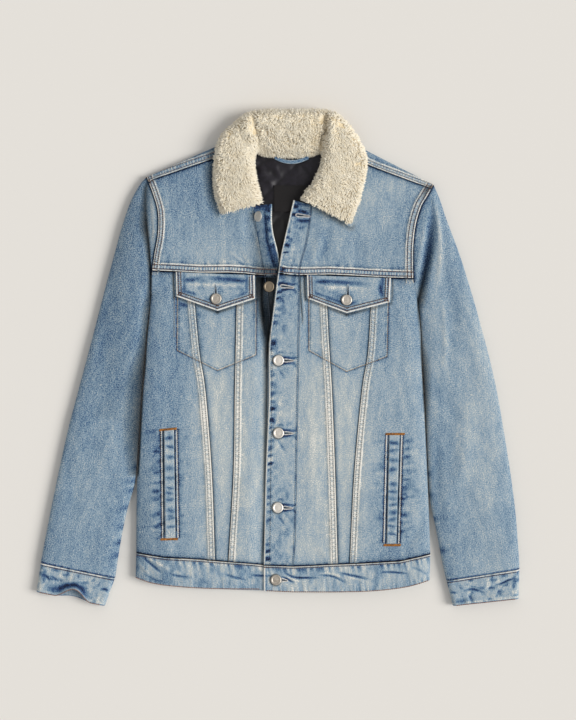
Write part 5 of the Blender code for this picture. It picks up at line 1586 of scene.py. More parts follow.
# %% Lining materials
def plain_cloth(name, dark, light, size, roughness, sheen, specular, bump=0.3):
    """Cloth of one colour, mottled between two close tones. The mottle is size metres across."""
    made, tree, shader = start_material(name, Roughness=roughness, Sheen_Weight=sheen,
                                        Specular_IOR_Level=specular)
    place = add(tree, "ShaderNodeTexCoord").outputs["Object"]
    grain = add(tree, "ShaderNodeTexNoise", {"Vector": place, "Scale": 1 / size, "Detail": 3.0})
    colour = fill_ramp(add(tree, "ShaderNodeValToRGB", {0: grain.outputs[0]}), [(0.35, dark), (0.65, light)])
    # The shade mark, where a piece has one, is painted shade that scales the colour down.
    shade = add(tree, "ShaderNodeAttribute", attribute_name="shade").outputs["Fac"]
    light = add(tree, "ShaderNodeMath", {0: 1.0, 1: shade}, operation="SUBTRACT").outputs[0]
    shaded = add(tree, "ShaderNodeVectorMath", {0: colour, "Scale": light}, operation="SCALE")
    tree.links.new(shaded.outputs[0], shader.inputs["Base Color"])
    fine = add(tree, "ShaderNodeTexNoise", {"Vector": place, "Scale": 1 / (0.8 * MM), "Detail": 1.0})
    lifted = add(tree, "ShaderNodeBump", {"Height": fine.outputs[0], "Strength": bump,
                                          "Distance": 0.2 * MM})
    tree.links.new(lifted.outputs[0], shader.inputs["Normal"])
    return made


# Nylon taffeta: smooth filament yarns give folds a soft shine
TAFFETA = plain_cloth("nylon_taffeta", "#110D15", "#1B1721", 6 * MM, 0.45, 0.12, 0.35)
# Damask label: dense black polyester, almost matt
LABEL_WEAVE = plain_cloth("woven_label", "#0E0B0C", "#171314", 1.2 * MM, 0.7, 0.1, 0.3)

# %% Lining
LINING_TOP = 9.6
QUILT_NODE = np.array([4.1, 277.4])          # a crossing of two quilting lines
QUILT_PITCH = 39.5
LINING_SIDE_R = corners([(-50, 110), (-50, 270), (-43, 300), (-36, 321)])
LINING_SIDE_L = corners([(60, 110), (80, 270), (76, 300), (72, 321)])
# Columns: points, width, height, and the two columns of a crease that a lining leaves at 0
LINING_FOLDS = [
    ([(-30, 286), (-14, 276), (-6, 262)], 4.5, 2.0, 0, 0),
    ([(-31, 300), (-22, 292), (-14, 290)], 4, 1.2, 0, 0),
    ([(-6, 306), (-2, 292), (2, 282)], 3.5, 1.8, 0, 0),
    ([(-16, 304), (-12, 296), (-14, 286)], 3, 1.3, 0, 0),
    ([(46, 300), (50, 290), (56, 282)], 4, 1.2, 0, 0),
    ([(14, 300), (20, 292), (26, 286)], 4, 0.9, 0, 0),
]


def quilt_gap(points):
    """Distance to the nearest quilting line: the lines repeat every QUILT_PITCH on both diagonals."""
    away = points - QUILT_NODE
    gaps = []
    for way in ((1, 1), (1, -1)):
        across = (away @ np.array(way)) / math.sqrt(2)
        gaps.append(np.abs((across + QUILT_PITCH / 2) % QUILT_PITCH - QUILT_PITCH / 2))
    return np.minimum(*gaps)


def quilt_height(points, d):
    """Lining top: LINING_TOP - 0.6 + 2 * (1 - bell of d), d being the quilting line's distance."""
    crease = press(points, LINING_FOLDS)[0]
    stitch = bell(d, 1.1) * 0.4 * noise(points[:, 0], points[:, 1], 2.6, 801)
    soft = 0.7 * noise(*points.T, 20, 802) + 0.35 * noise(*points.T, 8, 803)
    return LINING_TOP - 0.6 + 2.0 * (1 - bell(d, 6.5)) + crease + soft * step(d, 0, 5) + stitch


neckline = NECK_BACK[2:9] - (0, 1)
grid = patch(corners([LINING_SIDE_R[0], LINING_SIDE_L[0]]), neckline, LINING_SIDE_R, LINING_SIDE_L,
             spread(120, 2.4), spread(212, 2.4))
points = grid.reshape(-1, 2)
gap = quilt_gap(points)
# Painted shade: the lining is darkened low in the neck opening and in a band under the collar's stand, and
# along each quilting groove, where the dark line stands both for the groove's shade and for the quilting
# thread.
dark = {"shade": np.maximum.reduce([0.85 * (1 - step(points[:, 1], 212, 262)), 0.6 * bell(gap, 1.4),
                                    0.2 * bell(points[:, 1] - 318, 12)])}
piece = slab("quilted_lining", grid, quilt_height(points, gap), BACK_WALL + LAY_GAP, dark,
             TAFFETA, cloth_plan(grid))
finish_cloth(piece, ["lining_back"], grid, slot="lining")

# %% Label and loop
LABEL_BOX = (-6, 50, 229, 270)               # x from, x to, y from, y to
x0, x1, y0, y1 = LABEL_BOX
label_corners = [np.array(p, float) for p in ((x0, y0), (x1, y0), (x0, y1), (x1, y1))]
grid = patch(np.array(label_corners[:2]), np.array(label_corners[2:]),
             np.array(label_corners[::2]), np.array(label_corners[1::2]),
             spread(56, 2.0), spread(41, 2.0), 0.0)
points = grid.reshape(-1, 2)
z = LINING_TOP + 2.9 + 0.3 * noise(*points.T, 18, 811) - rounded(grid, "btlr", 0.5).ravel()
piece = slab("plain_label", grid, z, LINING_TOP + 2.0, {}, LABEL_WEAVE, cloth_plan(grid))
finish_cloth(piece, ["neck_label"], grid, slot="label")

LOOP_PATH = smooth([(-5, 313.5), (8, 308), (21, 306.3), (34, 308), (48, 313.5)])
half = np.array([0, 2.9])
u = spread(run_of(LOOP_PATH)[-1], 1.6)
grid = patch(LOOP_PATH - half, LOOP_PATH + half, np.array([LOOP_PATH[0] - half, LOOP_PATH[0] + half]),
             np.array([LOOP_PATH[-1] - half, LOOP_PATH[-1] + half]), u, spread(5.8, 1.2), 0.0)
points = grid.reshape(-1, 2)
middle = near(points, LOOP_PATH)
z = 13.4 + 0.9 * bell(middle[1] - 27, 17) - rounded(grid, "bt", 0.9).ravel()
loop_marks = no_seam(points, 0.3)
loop_marks["blue"] = 0.3 * bell(middle[0], 1.3) + 0.2
loop_marks["worn"] = 0.5 * step(np.abs(middle[0]), 1.7, 2.5)
piece = slab("denim_loop", grid, z, z - 1.5, loop_marks, DENIM, cloth_plan(grid, math.pi / 2))
finish_cloth(piece, ["hanger_loop"], grid)

# %% [markdown]
# ## Sherpa collar
#
# Sherpa is a knitted pile fabric whose fibres curl into small locks. Under the pile the collar
# is a soft rolled sheet: a stand at the back and a leaf over each front. It is a strip between
# an inner and an outer line, with a height profile carried along it, made lumpy by noise.

# %% Pile material
# From tan, the painted shade at the roots and on the backing, to the cream of the lit tips
PILE_TONES = [(0.0, "#AA8E64"), (0.25, "#CDB890"), (0.6, "#EEE1C6"), (1.0, "#FCF5E4")]


def sherpa_pile(name, base, span):
    """Curled cream polyester fibre, painted tan at the roots as shade between the locks and pale at
    the tips as painted light. Tone = base + span * light mark + cloud.
    """
    made, tree, shader = start_material(name, Roughness=0.95, Specular_IOR_Level=0.15, Sheen_Weight=0.35,
                                        Sheen_Roughness=0.6)
    place = add(tree, "ShaderNodeTexCoord").outputs["Object"]
    tip = add(tree, "ShaderNodeAttribute", attribute_name="tip").outputs["Fac"]
    cloud = add(tree, "ShaderNodeTexNoise", {"Vector": place, "Scale": 1 / (11 * MM), "Detail": 2.0})
    tone = add(tree, "ShaderNodeMath", {0: tip, 1: span, 2: base}, operation="MULTIPLY_ADD")
    tone = add(tree, "ShaderNodeMath", {0: cloud.outputs[0], 1: 0.5, 2: tone.outputs[0]},
               operation="MULTIPLY_ADD")
    colour = fill_ramp(add(tree, "ShaderNodeValToRGB", {0: tone.outputs[0]}), PILE_TONES)
    tree.links.new(colour, shader.inputs["Base Color"])
    return made


SHERPA_BASE = sherpa_pile("sherpa_backing", 0.05, 0.3)
SHERPA_LOCK = sherpa_pile("sherpa_locks", 0.18, 0.5)

# %% Collar
# Columns: inner x, inner y, outer x, outer y, underside, share of the stand
COLLAR = np.array([
    (-25, 243, -88, 226, 17.3, 0.0), (-30.5, 266, -97, 255, 17.3, 0.0),
    (-36, 290, -99.5, 288, 17.3, 0.0), (-37.5, 305, -97, 318, 17.3, 0.0),
    (-37, 314, -90, 342, 17.3, 0.1), (-34, 321.2, -73, 361, 17.3, 0.4),
    (-24, 318.6, -44, 382, 0.3, 1.0), (-12, 315.6, -12, 386, 0.3, 1.0),
    (20, 313.6, 19, 386, 0.3, 1.0), (45, 315.6, 52, 386.5, 0.3, 1.0),
    (60, 318.6, 84, 384, 0.3, 1.0), (69, 321.6, 107, 367, 17.3, 0.4),
    (71, 314, 122, 346, 17.3, 0.1), (69, 305, 134, 325, 17.3, 0.0),
    (66, 297, 138, 305, 17.3, 0.0), (61, 285, 134, 275, 17.3, 0.0),
    (53, 270, 126, 245, 17.3, 0.0), (36, 251, 113, 209, 17.3, 0.0)])
# Columns: share of the way from inner to outer edge, leaf height, stand height
PROFILE = np.array([(0.00, 21.5, 12.0), (0.04, 26.0, 15.0), (0.12, 29.5, 19.0), (0.25, 30.5, 23.0),
                    (0.45, 29.5, 28.0), (0.70, 28.0, 33.0), (0.88, 26.5, 33.0), (0.96, 23.5, 28.0),
                    (1.00, 20.0, 21.0)])
COLLAR_INSET = 2.5       # the locks reach past the backing by about this


# Folds where the leaf leaves the stand. Columns: points, width, height, shade, 0
COLLAR_FOLDS = [
    ([(76, 388), (75, 366), (71, 345), (66, 316)], 6.0, -9.0, 1.0, 0),
    ([(88, 382), (86, 362), (83, 342), (82, 322)], 6.0, 3.5, 0, 0),
    ([(-36, 386), (-34, 366), (-30, 345), (-28, 322)], 5.0, -4.0, 0.3, 0),
    ([(-47, 380), (-45, 360), (-42, 340), (-42, 318)], 6.5, 3.5, 0, 0),
    ([(62, 386), (62, 360), (58, 330), (56, 314)], 9, -2.0, 0.55, 0),
]


def crease_of(plan):
    """Height and shade of the collar's folds at plan points of any array shape."""
    z, dark, _ = press(plan.reshape(-1, 2), COLLAR_FOLDS)
    return z.reshape(plan.shape[:-1]), dark.reshape(plan.shape[:-1])


def collar_frame(along, share):
    """Points of the collar's backing at shares along it and across it: the plan is a straight
    line from the inner to the outer edge, and the height blends leaf and stand profiles."""
    rows = smooth(COLLAR, 8)
    run = run_of(0.5 * (rows[:, 0:2] + rows[:, 2:4]))
    row = np.stack([np.interp(along * run[-1], run, rows[:, k]) for k in range(6)], -1)
    inner, outer = row[..., 0:2], row[..., 2:4]
    width = np.linalg.norm(outer - inner, axis=-1)[..., None]
    way = (outer - inner) / width
    inner, outer = inner + COLLAR_INSET * way, outer - COLLAR_INSET * way
    plan = inner + share[..., None] * (outer - inner)
    stand = row[..., 5]
    profile = smooth(PROFILE, 5)
    leaf = np.interp(share, profile[:, 0], profile[:, 1])
    upright = np.interp(share, profile[:, 0], profile[:, 2])
    z = (1 - stand) * leaf + stand * upright
    z = z + crease_of(plan)[0]
    lumps = 0.9 * noise(plan[..., 0], plan[..., 1], 10, 901) + 0.6 * noise(plan[..., 0], plan[..., 1], 5, 902)
    return plan, z + lumps, np.maximum(row[..., 4], COLLAR[:, 4].min()), way


along = spread(640, 2.6)
share = spread(66, 2.6)
plan, z, under, _ = collar_frame(*np.meshgrid(along, share, indexing="ij"))
ends = np.minimum(along, 1 - along)[:, None] * 640
z = np.maximum(z - 6 * (1 - rise(ends, 7)), 18.5 * (under > 5))
z = np.maximum(z, under + 1.5)
# The backing's low light mark paints it darker, as shade under the pile.
tips = np.full(z.size, 0.2)
collar = slab("sherpa_collar", plan, z.ravel(), under.ravel(), {"tip": tips}, SHERPA_BASE,
              cloth_plan(plan), stride=1)
join_frame(collar, "sherpa", "collar")
print("collar", len(collar.data.polygons), "faces, plan", round(flat_area(plan) / 100), "cm2")

# %% [markdown]
# ## The curls of the pile
#
# Each lock is a short tapered strand, three-sided so that thousands of them stay light. A
# strand leans away from its root and curls back, and its direction drifts over the collar, so
# that neighbours gather in tufts. Tips are painted pale and roots painted tan, as light and shade
# between the locks, which gives the depth.

# %% Locks
LOCKS = 9400                 # for each half of the collar
LOCK_LENGTH = 9.5
LOCK_WIDTH = 1.08
REACH = np.array([0.0, 0.5, 1.0])                 # rings along a lock
GIRTH = np.array([0.85, 1.2, 0.12])               # thickness at each ring
# Painted light along a lock: shade at the root, light at the tip
PILE_LIGHT_RINGS = np.array([0.32, 0.76, 0.95])               # paleness at each ring
RIM_SHARE = 0.14                                  # locks that stand along the edges
STEP_OUT = 0.01


def lock_roots(count, low, high, rng):
    """Where the locks grow: evenly over a stretch of the collar, and more along its rims."""
    a, s = rng.uniform(low, high, count), rng.uniform(0, 1, count)
    rim = rng.uniform(size=count) < RIM_SHARE
    edge = np.where(rng.uniform(size=count) < 0.5, 0.05 * s, 1 - 0.05 * s)
    return a, np.where(rim, edge, s)


def locks(name, count, low, high, seed):
    """One piece of pile. A lock's spine runs outward as reach * (lean + swing) and upward as a
    half sine; three-sided rings round the spine are joined into a tapering strand."""
    rng = np.random.default_rng(seed)
    a, s = lock_roots(count, low, high, rng)
    root, root_z, _, way = collar_frame(a, s)
    ahead, ahead_z, _, _ = collar_frame(a, np.clip(s + STEP_OUT, 0, 1))
    slope = np.abs(ahead_z - root_z) / np.maximum(np.linalg.norm(ahead - root, axis=1), 0.1)
    outward = np.clip((s - 0.5) * 2, -1, 1) ** 3
    ends = np.where(a < 0.03, -1.0, np.where(a > 0.97, 1.0, 0.0))
    drift = 1.7 * noise(root[:, 0], root[:, 1], 16, 911) + rng.uniform(-0.5, 0.5, count) - 1.9
    lean = (np.stack([np.cos(drift), np.sin(drift)], 1) * (1 - 0.7 * np.abs(outward))[:, None]
            + 1.6 * way * outward[:, None]
            + 1.2 * np.stack([way[:, 1], -way[:, 0]], 1) * ends[:, None])
    lean /= np.linalg.norm(lean, axis=1, keepdims=True)
    size = (LOCK_LENGTH * rng.uniform(0.65, 1.15, count))[:, None]
    curl = rng.uniform(-1.0, 1.0, count)[:, None]
    beside_lean = np.stack([-lean[:, 1], lean[:, 0]], 1)
    out = 0.62 * size * REACH
    swing = 0.24 * size * np.sin(3.2 * REACH * curl)
    steep = np.clip(1 - 0.8 * slope, 0.1, 1)[:, None]
    up = size * (0.05 + 0.33 * steep * np.sin(2.0 * REACH)) - 1.3
    spine = np.concatenate([root[:, None] + out[..., None] * lean[:, None]
                            + swing[..., None] * beside_lean[:, None],
                            (root_z[:, None] + up)[..., None]], -1)
    thick = (LOCK_WIDTH * rng.uniform(0.75, 1.25, count))[:, None] * GIRTH
    ring = math.pi * np.array([1 / 2, 7 / 6, 11 / 6])
    aside = np.concatenate([beside_lean, np.zeros((count, 1))], 1)[:, None, None]
    round_it = np.cos(ring)[:, None] * aside + np.sin(ring)[:, None] * np.array([0, 0, 1.0])
    points = spine[:, :, None] + thick[:, :, None, None] * round_it
    rings = len(REACH)
    k = np.arange(count * rings * 3).reshape(count, rings, 3)
    faces = triangles(tube(k), k[:, 0, ::-1], k[:, -1])
    # Painted shade: locks that grow in a fold of the collar get darker tips.
    deep = 0.75 * crease_of(root)[1][:, None, None]
    tip = np.broadcast_to(PILE_LIGHT_RINGS[None, :, None], k.shape) * rng.uniform(0.8, 1.1, count)[:, None, None] - deep
    pile = new_mesh(name, points.reshape(-1, 3), faces, SHERPA_LOCK, {"tip": tip.ravel()})
    join_frame(pile, "sherpa")
    print(name, count, "locks,", len(faces), "triangles")
    return pile


piles = [locks("sherpa_pile_r", LOCKS, 0.002, 0.5, 5), locks("sherpa_pile_l", LOCKS, 0.5, 0.998, 6)]

# %% [markdown]
# ## Buttons
#
# Tack buttons are stamped from thin nickel-plated brass: a domed rim round a slightly hollow
# face. Each is one profile turned round its axis. The upper one lies tilted on its fold. Those
# that rubbed less have kept a browner patina, and the one that the placket shades is browned
# more, as painted shade.

# %% Button metal
# The brown end stands for patina, and on the button in the placket's shade for painted shade too.
NICKEL_TONES = [(0.25, "#EDE6DC"), (1.0, "#8B7E6C")]      # bright plate, and brown patina


def nickel(name):
    """Satin nickel plate under patina: a metal whose colour follows a mark of patina and painted shade."""
    made, tree, shader = start_material(name, Metallic=0.85, Roughness=0.46)
    place = add(tree, "ShaderNodeTexCoord").outputs["Object"]
    cloud = add(tree, "ShaderNodeTexNoise", {"Vector": place, "Scale": 1 / (2.2 * MM), "Detail": 2.0})
    patina_and_shade = add(tree, "ShaderNodeAttribute", attribute_name="patina_and_shade").outputs["Fac"]
    amount = add(tree, "ShaderNodeMath", {0: cloud.outputs[0], 1: 0.5, 2: patina_and_shade},
                 operation="MULTIPLY_ADD")
    colour = fill_ramp(add(tree, "ShaderNodeValToRGB", {0: amount.outputs[0]}), NICKEL_TONES)
    tree.links.new(colour, shader.inputs["Base Color"])
    return made


NICKEL = nickel("patinated_nickel")

# %% Buttons
# Columns: share of the radius, height: from the foot out over the rim to the hollow face
BUTTON_PROFILE = smooth([(0.0, 0.0), (0.62, 0.0), (0.90, 0.5), (1.0, 1.25), (0.985, 1.8), (0.90, 2.25),
                         (0.80, 2.35), (0.70, 2.1), (0.60, 1.85), (0.35, 1.95), (0.0, 2.1)], 4)
TURNS = 40


def skin_below(names):
    """A search tree over the upper cloth, so that small things can be laid on to it."""
    points, faces = [], []
    for name in names:
        mesh = bpy.data.objects[name].data
        start = len(points)
        points += [v.co[:] for v in mesh.vertices]
        faces += [[k + start for k in face.vertices] for face in mesh.polygons]
    return BVHTree.FromPolygons(points, faces)


CLOTH_NAMES = [thing.name for thing in bpy.data.objects if thing.name.startswith("denim_")
               and "under" not in thing.name and thing.name not in ("denim_back", "denim_waist_back")]
SKIN = skin_below(CLOTH_NAMES)
DROP_FROM = 0.08


def drape(points):
    """Height in millimetres of the upper cloth under each plan point, by a ray sent down."""
    down = Vector((0, 0, -1))
    hits = [SKIN.ray_cast(Vector((x * MM, (y - CENTRE_Y) * MM, DROP_FROM)), down)[0] for x, y in points]
    return np.array([hit.z / MM if hit else 0.0 for hit in hits])


def button(node, x, y, tilt, patina_and_shade):
    """Turned profile on the cloth: rings of TURNS points, one pole point at either end."""
    share, high = BUTTON_PROFILE[1:-1].T
    turn = np.linspace(0, 2 * math.pi, TURNS, endpoint=False)
    ring = np.stack([np.outer(share, np.cos(turn)), np.outer(share, np.sin(turn))], -1) * BUTTON_RADIUS
    body = np.concatenate([ring, np.broadcast_to(high[:, None, None], ring.shape[:2] + (1,))], -1)
    poles = np.array([[0, 0, high[0]], [0, 0, BUTTON_PROFILE[-1, 1]]])
    local = np.vstack([body.reshape(-1, 3), poles])
    c, s = math.cos(math.radians(tilt)), math.sin(math.radians(tilt))
    turned = local @ np.array([[c, 0, -s], [0, 1, 0], [s, 0, c]])
    around = np.stack([x + 5 * np.cos(turn), y + 5 * np.sin(turn)], 1)
    seat = drape(around).mean() + 0.15
    points = turned + (x, y, seat - turned[:, 2].min())
    k = np.arange(len(share) * TURNS).reshape(len(share), TURNS)
    after = np.roll(k, -1, 1)
    foot, face = k.size, k.size + 1
    faces = triangles(tube(k), np.stack([after[0], k[0], np.full(TURNS, foot)], 1),
                      np.stack([k[-1], after[-1], np.full(TURNS, face)], 1))
    made = new_mesh("nickel_" + node, points, faces, NICKEL, {"patina_and_shade": np.full(len(points), patina_and_shade)})
    join_frame(made, "button_metal", node)


for row in BUTTONS:
    button(*row)
print(len(BUTTONS), "buttons of", 2 * BUTTON_RADIUS, "mm")

# %% [markdown]
# ## Topstitching
#
# Thread lies on the cloth as a row of short bars with gaps where it dives under. The needle
# pulls it down at both ends, so each stitch is a small spindle. Rust brown, tan and cream
# thread are used in different seams, and the wash has faded all three. Thousands of stitches
# need to be light, so each one has 36 triangles.

# %% Thread
THREADS = {"rust": ("#2E1F1C", "#6B4635"), "tan": ("#6F5640", "#A98C6C"),
           "cream": ("#A9A5A2", "#E9E6E1"), "taupe": ("#6C6763", "#989189"), "navy": ("#16202F", "#2F4159"),
           "orange": ("#6E4210", "#B8761E"), "brick": ("#6B453A", "#A07A68"), "pale": ("#7F93A6", "#B9C6CE")}
THREAD_CLOTH = {name: plain_cloth(name + "_thread", dark, light, 2.5 * MM, 0.6, 0.3, 0.4)
                for name, (dark, light) in THREADS.items()}
PITCH = 3.3
STITCH = 2.5
THREAD = 0.50            # real thread is 0.3 mm in radius: drawn a little thicker, so it shows
SIDES = 5                # corners of a stitch's section
# Columns: place along a stitch, share of its radius, height above the cloth
SPINDLE = np.array([(-0.5, 0.35, -0.45), (-0.3, 1.0, 0.25), (0.3, 1.0, 0.25), (0.5, 0.35, -0.45)])


def bars(mid, way, length, radius):
    """Spindles centred at plan points, along unit directions, laid on to the cloth. Those beside
    the cloth are left out, and no end hangs more than 0.4 mm below its middle."""
    middle = drape(mid)
    on_cloth = middle > 0
    mid, way, middle = mid[on_cloth], way[on_cloth], middle[on_cloth, None]
    count = len(mid)
    rows = mid[:, None] + SPINDLE[None, :, :1] * length * way[:, None]
    z = drape(rows.reshape(-1, 2)).reshape(count, -1)
    z = np.maximum(z, middle - 0.4) + SPINDLE[:, 2]
    aside = np.stack([-way[:, 1], way[:, 0]], 1)
    turn = np.linspace(0, 2 * math.pi, SIDES, endpoint=False)
    girth = radius * SPINDLE[:, 1]
    offset = (girth[:, None] * np.cos(turn))[None, :, :, None] * aside[:, None, None]
    plan = rows[:, :, None] + offset
    high = z[:, :, None] + girth[:, None] * np.sin(turn)
    points = np.concatenate([plan, high[..., None]], -1)
    k = np.arange(points.size // 3).reshape(points.shape[:3])
    fan = np.array([(0, 1, 2), (0, 2, 3), (0, 3, 4)])
    lids = np.concatenate([k[:, 0][:, fan[:, ::-1]], k[:, 3][:, fan]]).reshape(-1, 3)
    faces = triangles(tube(k), lids)
    return points.reshape(-1, 3), faces


def row_of(line, start=0.0, stop=None):
    """Middles and directions of a row of stitches along a line."""
    run = run_of(line)
    stop = run[-1] if stop is None else stop
    places = np.arange(start + PITCH / 2, stop - PITCH / 3, PITCH)
    ends = [at(line, (places + half) / run[-1]) for half in (-STITCH / 2, STITCH / 2)]
    way = ends[1] - ends[0]
    return (ends[0] + ends[1]) / 2, way / np.maximum(np.linalg.norm(way, axis=1, keepdims=True), 1e-6)


def sew(name, colour, rows, length=STITCH, radius=THREAD):
    """One piece of thread: all the rows of one colour."""
    mid = np.concatenate([row[0] for row in rows])
    way = np.concatenate([row[1] for row in rows])
    points, faces = bars(mid, way, length, radius)
    made = new_mesh(name, points, faces, THREAD_CLOTH[colour])
    join_frame(made, "denim")
    print(name, len(mid), "stitches,", len(faces), "triangles")


# %% Rows of stitches
def both_rows(line, near_row, far_row):
    """Two rows on the band side of a seam."""
    return [row_of(beside(line, near_row)), row_of(beside(line, far_row))]


def below_flaps(mid, way):
    """Leaves out the stitches that the flaps cover: those above the flaps' lower edges."""
    low = np.array(FLAP_R[1:4] + FLAP_L[1:4], float)
    keep = mid[:, 1] < np.interp(mid[:, 0], low[:, 0], low[:, 1]) - 1
    return mid[keep], way[keep]


FLAP_EDGES = [corners(FLAP_R), corners(flip(FLAP_L))]
rust = both_rows(YOKE_R, 2.9, 9.4) + both_rows(YOKE_L, 2.9, 9.4)
for edge, sign in zip(FLAP_EDGES, (1, -1)):
    rust += [row_of(beside(edge, 3.7 * sign)), row_of(beside(edge, 7.9 * sign))]
rust += both_rows(ARMHOLE_R[:61], 2.9, 7.5) + both_rows(flip(ARMHOLE_L[:61]), 2.9, 9.0)
sew("rust_thread", "rust", rust, length=2.9, radius=0.85)
tan = [row_of(POCKET_R), row_of(POCKET_L)]
tan += both_rows(SHOULDER_SEAM_R, 2.9, 9.0) + both_rows(flip(SHOULDER_SEAM_L), 2.9, 7.0)
sew("tan_thread", "tan", tan, radius=0.6)
sew("welt_thread", "cream", [row_of(line) for line in WELT_LINES], radius=0.5)
taupe = []
for edge in (EDGE_OUTER_R, flip(EDGE_INNER_R), EDGE_INNER_L, flip(EDGE_OUTER_L)):
    taupe += [below_flaps(*row) for row in both_rows(edge, 2.9, 8.0)]
taupe += [row_of(beside(POCKET_R[:32], -4.5))]
sew("taupe_thread", "taupe", taupe, radius=0.6)
hem = [row_of(beside(WAIST_R, -3.1)), row_of(beside(WAIST_L, -3.1))]
for side, ends in (("r", (OUTER_R[-1], INNER_R[-1])), ("l", (INNER_L[-1], OUTER_L[-1]))):
    line = corners(ends)
    hem.append(row_of(beside(line, -3.9), 4, run_of(line)[-1] - 4))
sew("hem_thread", "rust", hem, radius=0.75)
EDGES = (HEM_R[HEM_R[:, 0] < -23], HEM_L[2:], mouths["r"], mouths["l"])
sew("hem_edge_thread", "brick", [row_of(beside(line, 0.7)) for line in EDGES], length=3.2, radius=0.8)
# The band's and the placket's seams get navy thread, drawn dark as painted shadow of those seams.
sew("navy_thread", "navy", [row_of(beside(flip(BAND_LINE), -1.6)), row_of(beside(flip(PLACKET_LINE), -1.6))])

# %% Bartacks
# Columns: x from, y from, x to, y to: orange bars across both ends of each welt
BARTACKS = [(-184, -111.5, -158, -109), (-182, -281.5, -156, -281),
            (168, -117.5, 197, -117.5), (165, -290.5, 191, -290.5)]
rows = []
for x0, y0, x1, y1 in BARTACKS:
    places = np.linspace(0, 1, 30)[:, None]
    mid = (1 - places) * (x0, y0) + places * (x1, y1)
    rows.append((mid, np.tile([0.25, 0.968], (30, 1))))
sew("bartack_thread", "orange", rows, length=4.4, radius=0.66)

# %% [markdown]
# ## Buttonholes and pocket slits
#
# A keyhole buttonhole is a slit with dense stitching round it. What the eye gets is a dark line
# inside a pale frayed ring, so each is a ring of short stitches and a dark lens in the middle,
# which is painted shadow in the slit. The welts of the hand pockets get such lenses of painted
# shadow too.

# %% Buttonholes
# Columns: x from, y from, x to, y to, thread colour
HOLES = [(4, 113, 25, 110.5, "cream"), (9, -3, 24, -3.5, "cream"), (9, -116, 24, -116.5, "cream"),
         (8, -232, 23, -233, "cream"), (5, -344.5, 15, -346, "cream"), (28, 223.5, 50, 221, "cream"),
         (-96.5, 97, -96.5, 115, "pale"), (109, 95, 109, 115, "pale")]
# Columns: share of the hole's length, half its width: the eye lies at the button's end
KEYHOLE = smooth([(0.0, 0.3), (0.04, 1.3), (0.16, 2.0), (0.34, 1.8), (0.6, 1.2), (0.85, 0.8), (1.0, 0.3)], 4)
# Painted shadow: the near-black colour of an opening.
SLIT_SHADOW = plain_cloth("dark_slit", "#0C1018", "#1A2230", 3 * MM, 0.9, 0.0, 0.1)


def ring_of_stitches(x0, y0, x1, y1):
    """Short bars square to the outline of a keyhole: half widths are read off KEYHOLE."""
    start, whole = np.array([x0, y0], float), np.array([x1 - x0, y1 - y0], float)
    aside = np.array([-whole[1], whole[0]]) / np.linalg.norm(whole)
    middle, half = start + KEYHOLE[:, :1] * whole, (KEYHOLE[:, 1:] + 0.35) * aside
    outline = corners(np.vstack([middle + half, (middle - half)[::-1], middle[:1] + half[:1]]), 0.8)
    mid, way = outline[:-1], np.diff(outline, axis=0)
    way /= np.maximum(np.linalg.norm(way, axis=1, keepdims=True), 1e-6)
    return mid, np.stack([-way[:, 1], way[:, 0]], 1)


def slit(name, x0, y0, x1, y1, width, lift, keyhole=False):
    """A dark lens of painted shadow: half width = width * sin(pi * share) ** 0.5, or as a keyhole has it."""
    share = np.linspace(0, 1, 21)
    line = (1 - share)[:, None] * (x0, y0) + share[:, None] * (x1, y1)
    way = np.array([x1 - x0, y1 - y0]) / math.hypot(x1 - x0, y1 - y0)
    lens = np.sin(math.pi * (0.02 + 0.96 * share)) ** 0.5
    shape = np.interp(share, *KEYHOLE.T) if keyhole else lens
    aside = np.array([-way[1], way[0]]) * width * shape[:, None]
    grid = np.stack([line - aside, line, line + aside])
    z = drape(grid.reshape(-1, 2)) + lift
    made = slab(name, grid, z, z - 0.4, {}, SLIT_SHADOW, cloth_plan(grid))
    join_frame(made, "denim")


for colour in ("cream", "pale"):
    sew("buttonhole_" + colour, colour,
        [ring_of_stitches(*row[:4]) for row in HOLES if row[4] == colour], length=1.8, radius=0.45)
for number, row in enumerate(HOLES):
    slit("hole_%d" % (number + 1), *row[:4], 0.45, 0.6, keyhole=True)
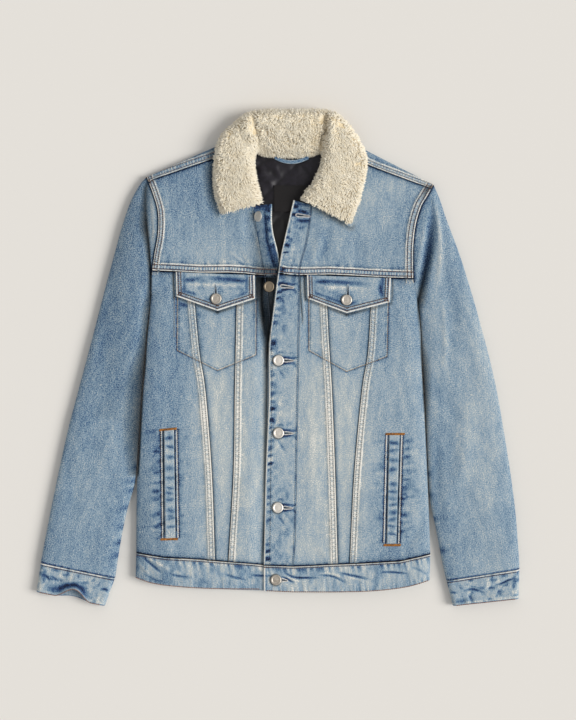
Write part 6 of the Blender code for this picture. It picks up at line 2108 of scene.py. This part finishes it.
# Painted shadow along each welt: a dark lens in its open side and a thin one along its other edge.
for name, x0, y0, x1, y1, width in (("welt_slit_r", -178.4, -112, -177.4, -280, 0.7),
                                    ("welt_edge_r", -160.7, -111, -158.6, -279, 0.45),
                                    ("welt_slit_l", 190.7, -119, 186.0, -288, 0.7),
                                    ("welt_edge_l", 172.4, -119, 168.4, -288, 0.45)):
    slit(name, x0, y0, x1, y1, width, 0.5)

# %% [markdown]
# ## Floor, light and camera
#
# The jacket lies on a pale matt floor under soft studio light: a big window-like key from the
# upper right, whose shadows fall softly to the left, and an even fill from all round. The
# camera looks straight down with a long lens, so the sides of the folds stay hidden.

# %% Floor
floor_paint = start_material("matt_floor_paint", Base_Color=linear("#E3DFD9"), Roughness=0.9,
                             Specular_IOR_Level=0.2)[0]
FLOOR_HALF = 6.0
FLOOR_DROP = 0.3         # millimetres below the cloth, so that the two faces don't coincide
corner = FLOOR_HALF / MM
floor = new_mesh("floor", [(x * corner, y * corner, -FLOOR_DROP)
                           for x, y in ((-1, -1), (1, -1), (1, 1), (-1, 1))],
                 np.array([[0, 1, 2, 3]]), floor_paint)

# %% Light and camera
world = bpy.data.worlds.new("soft_fill")
world.use_nodes = True
world.node_tree.nodes["Background"].inputs["Color"].default_value = (0.98, 0.99, 1.0, 1.0)
world.node_tree.nodes["Background"].inputs["Strength"].default_value = 0.52
bpy.context.scene.world = world

KEY_FROM = np.array([1.9, -0.15, 1.45])      # metres, from the right of the frame
key = bpy.data.lights.new("window_key", "SUN")
key.angle = math.radians(32)                 # a wide soft box, far enough off to be even
key.energy = 2.6
key.color = (1.0, 0.985, 0.96)
key_object = bpy.data.objects.new("window_key", key)
key_object.location = KEY_FROM
key_object.rotation_euler = Vector(-KEY_FROM).to_track_quat("-Z", "Y").to_euler()
bpy.context.scene.collection.objects.link(key_object)

CAMERA_HEIGHT = 3.2
FRAME_HEIGHT = 1.1232                        # metres of floor from the top to the bottom edge
camera = bpy.data.cameras.new("overhead")
camera.sensor_width = 36.0
camera.lens = 36.0 * (CAMERA_HEIGHT - 0.01) / FRAME_HEIGHT
camera_object = bpy.data.objects.new("overhead", camera)
camera_object.location = (0.0158, -0.0038, CAMERA_HEIGHT)
bpy.context.scene.collection.objects.link(camera_object)
bpy.context.scene.camera = camera_object
bpy.context.scene.view_settings.view_transform = "Standard"
print("lens, mm:", round(camera.lens, 1))
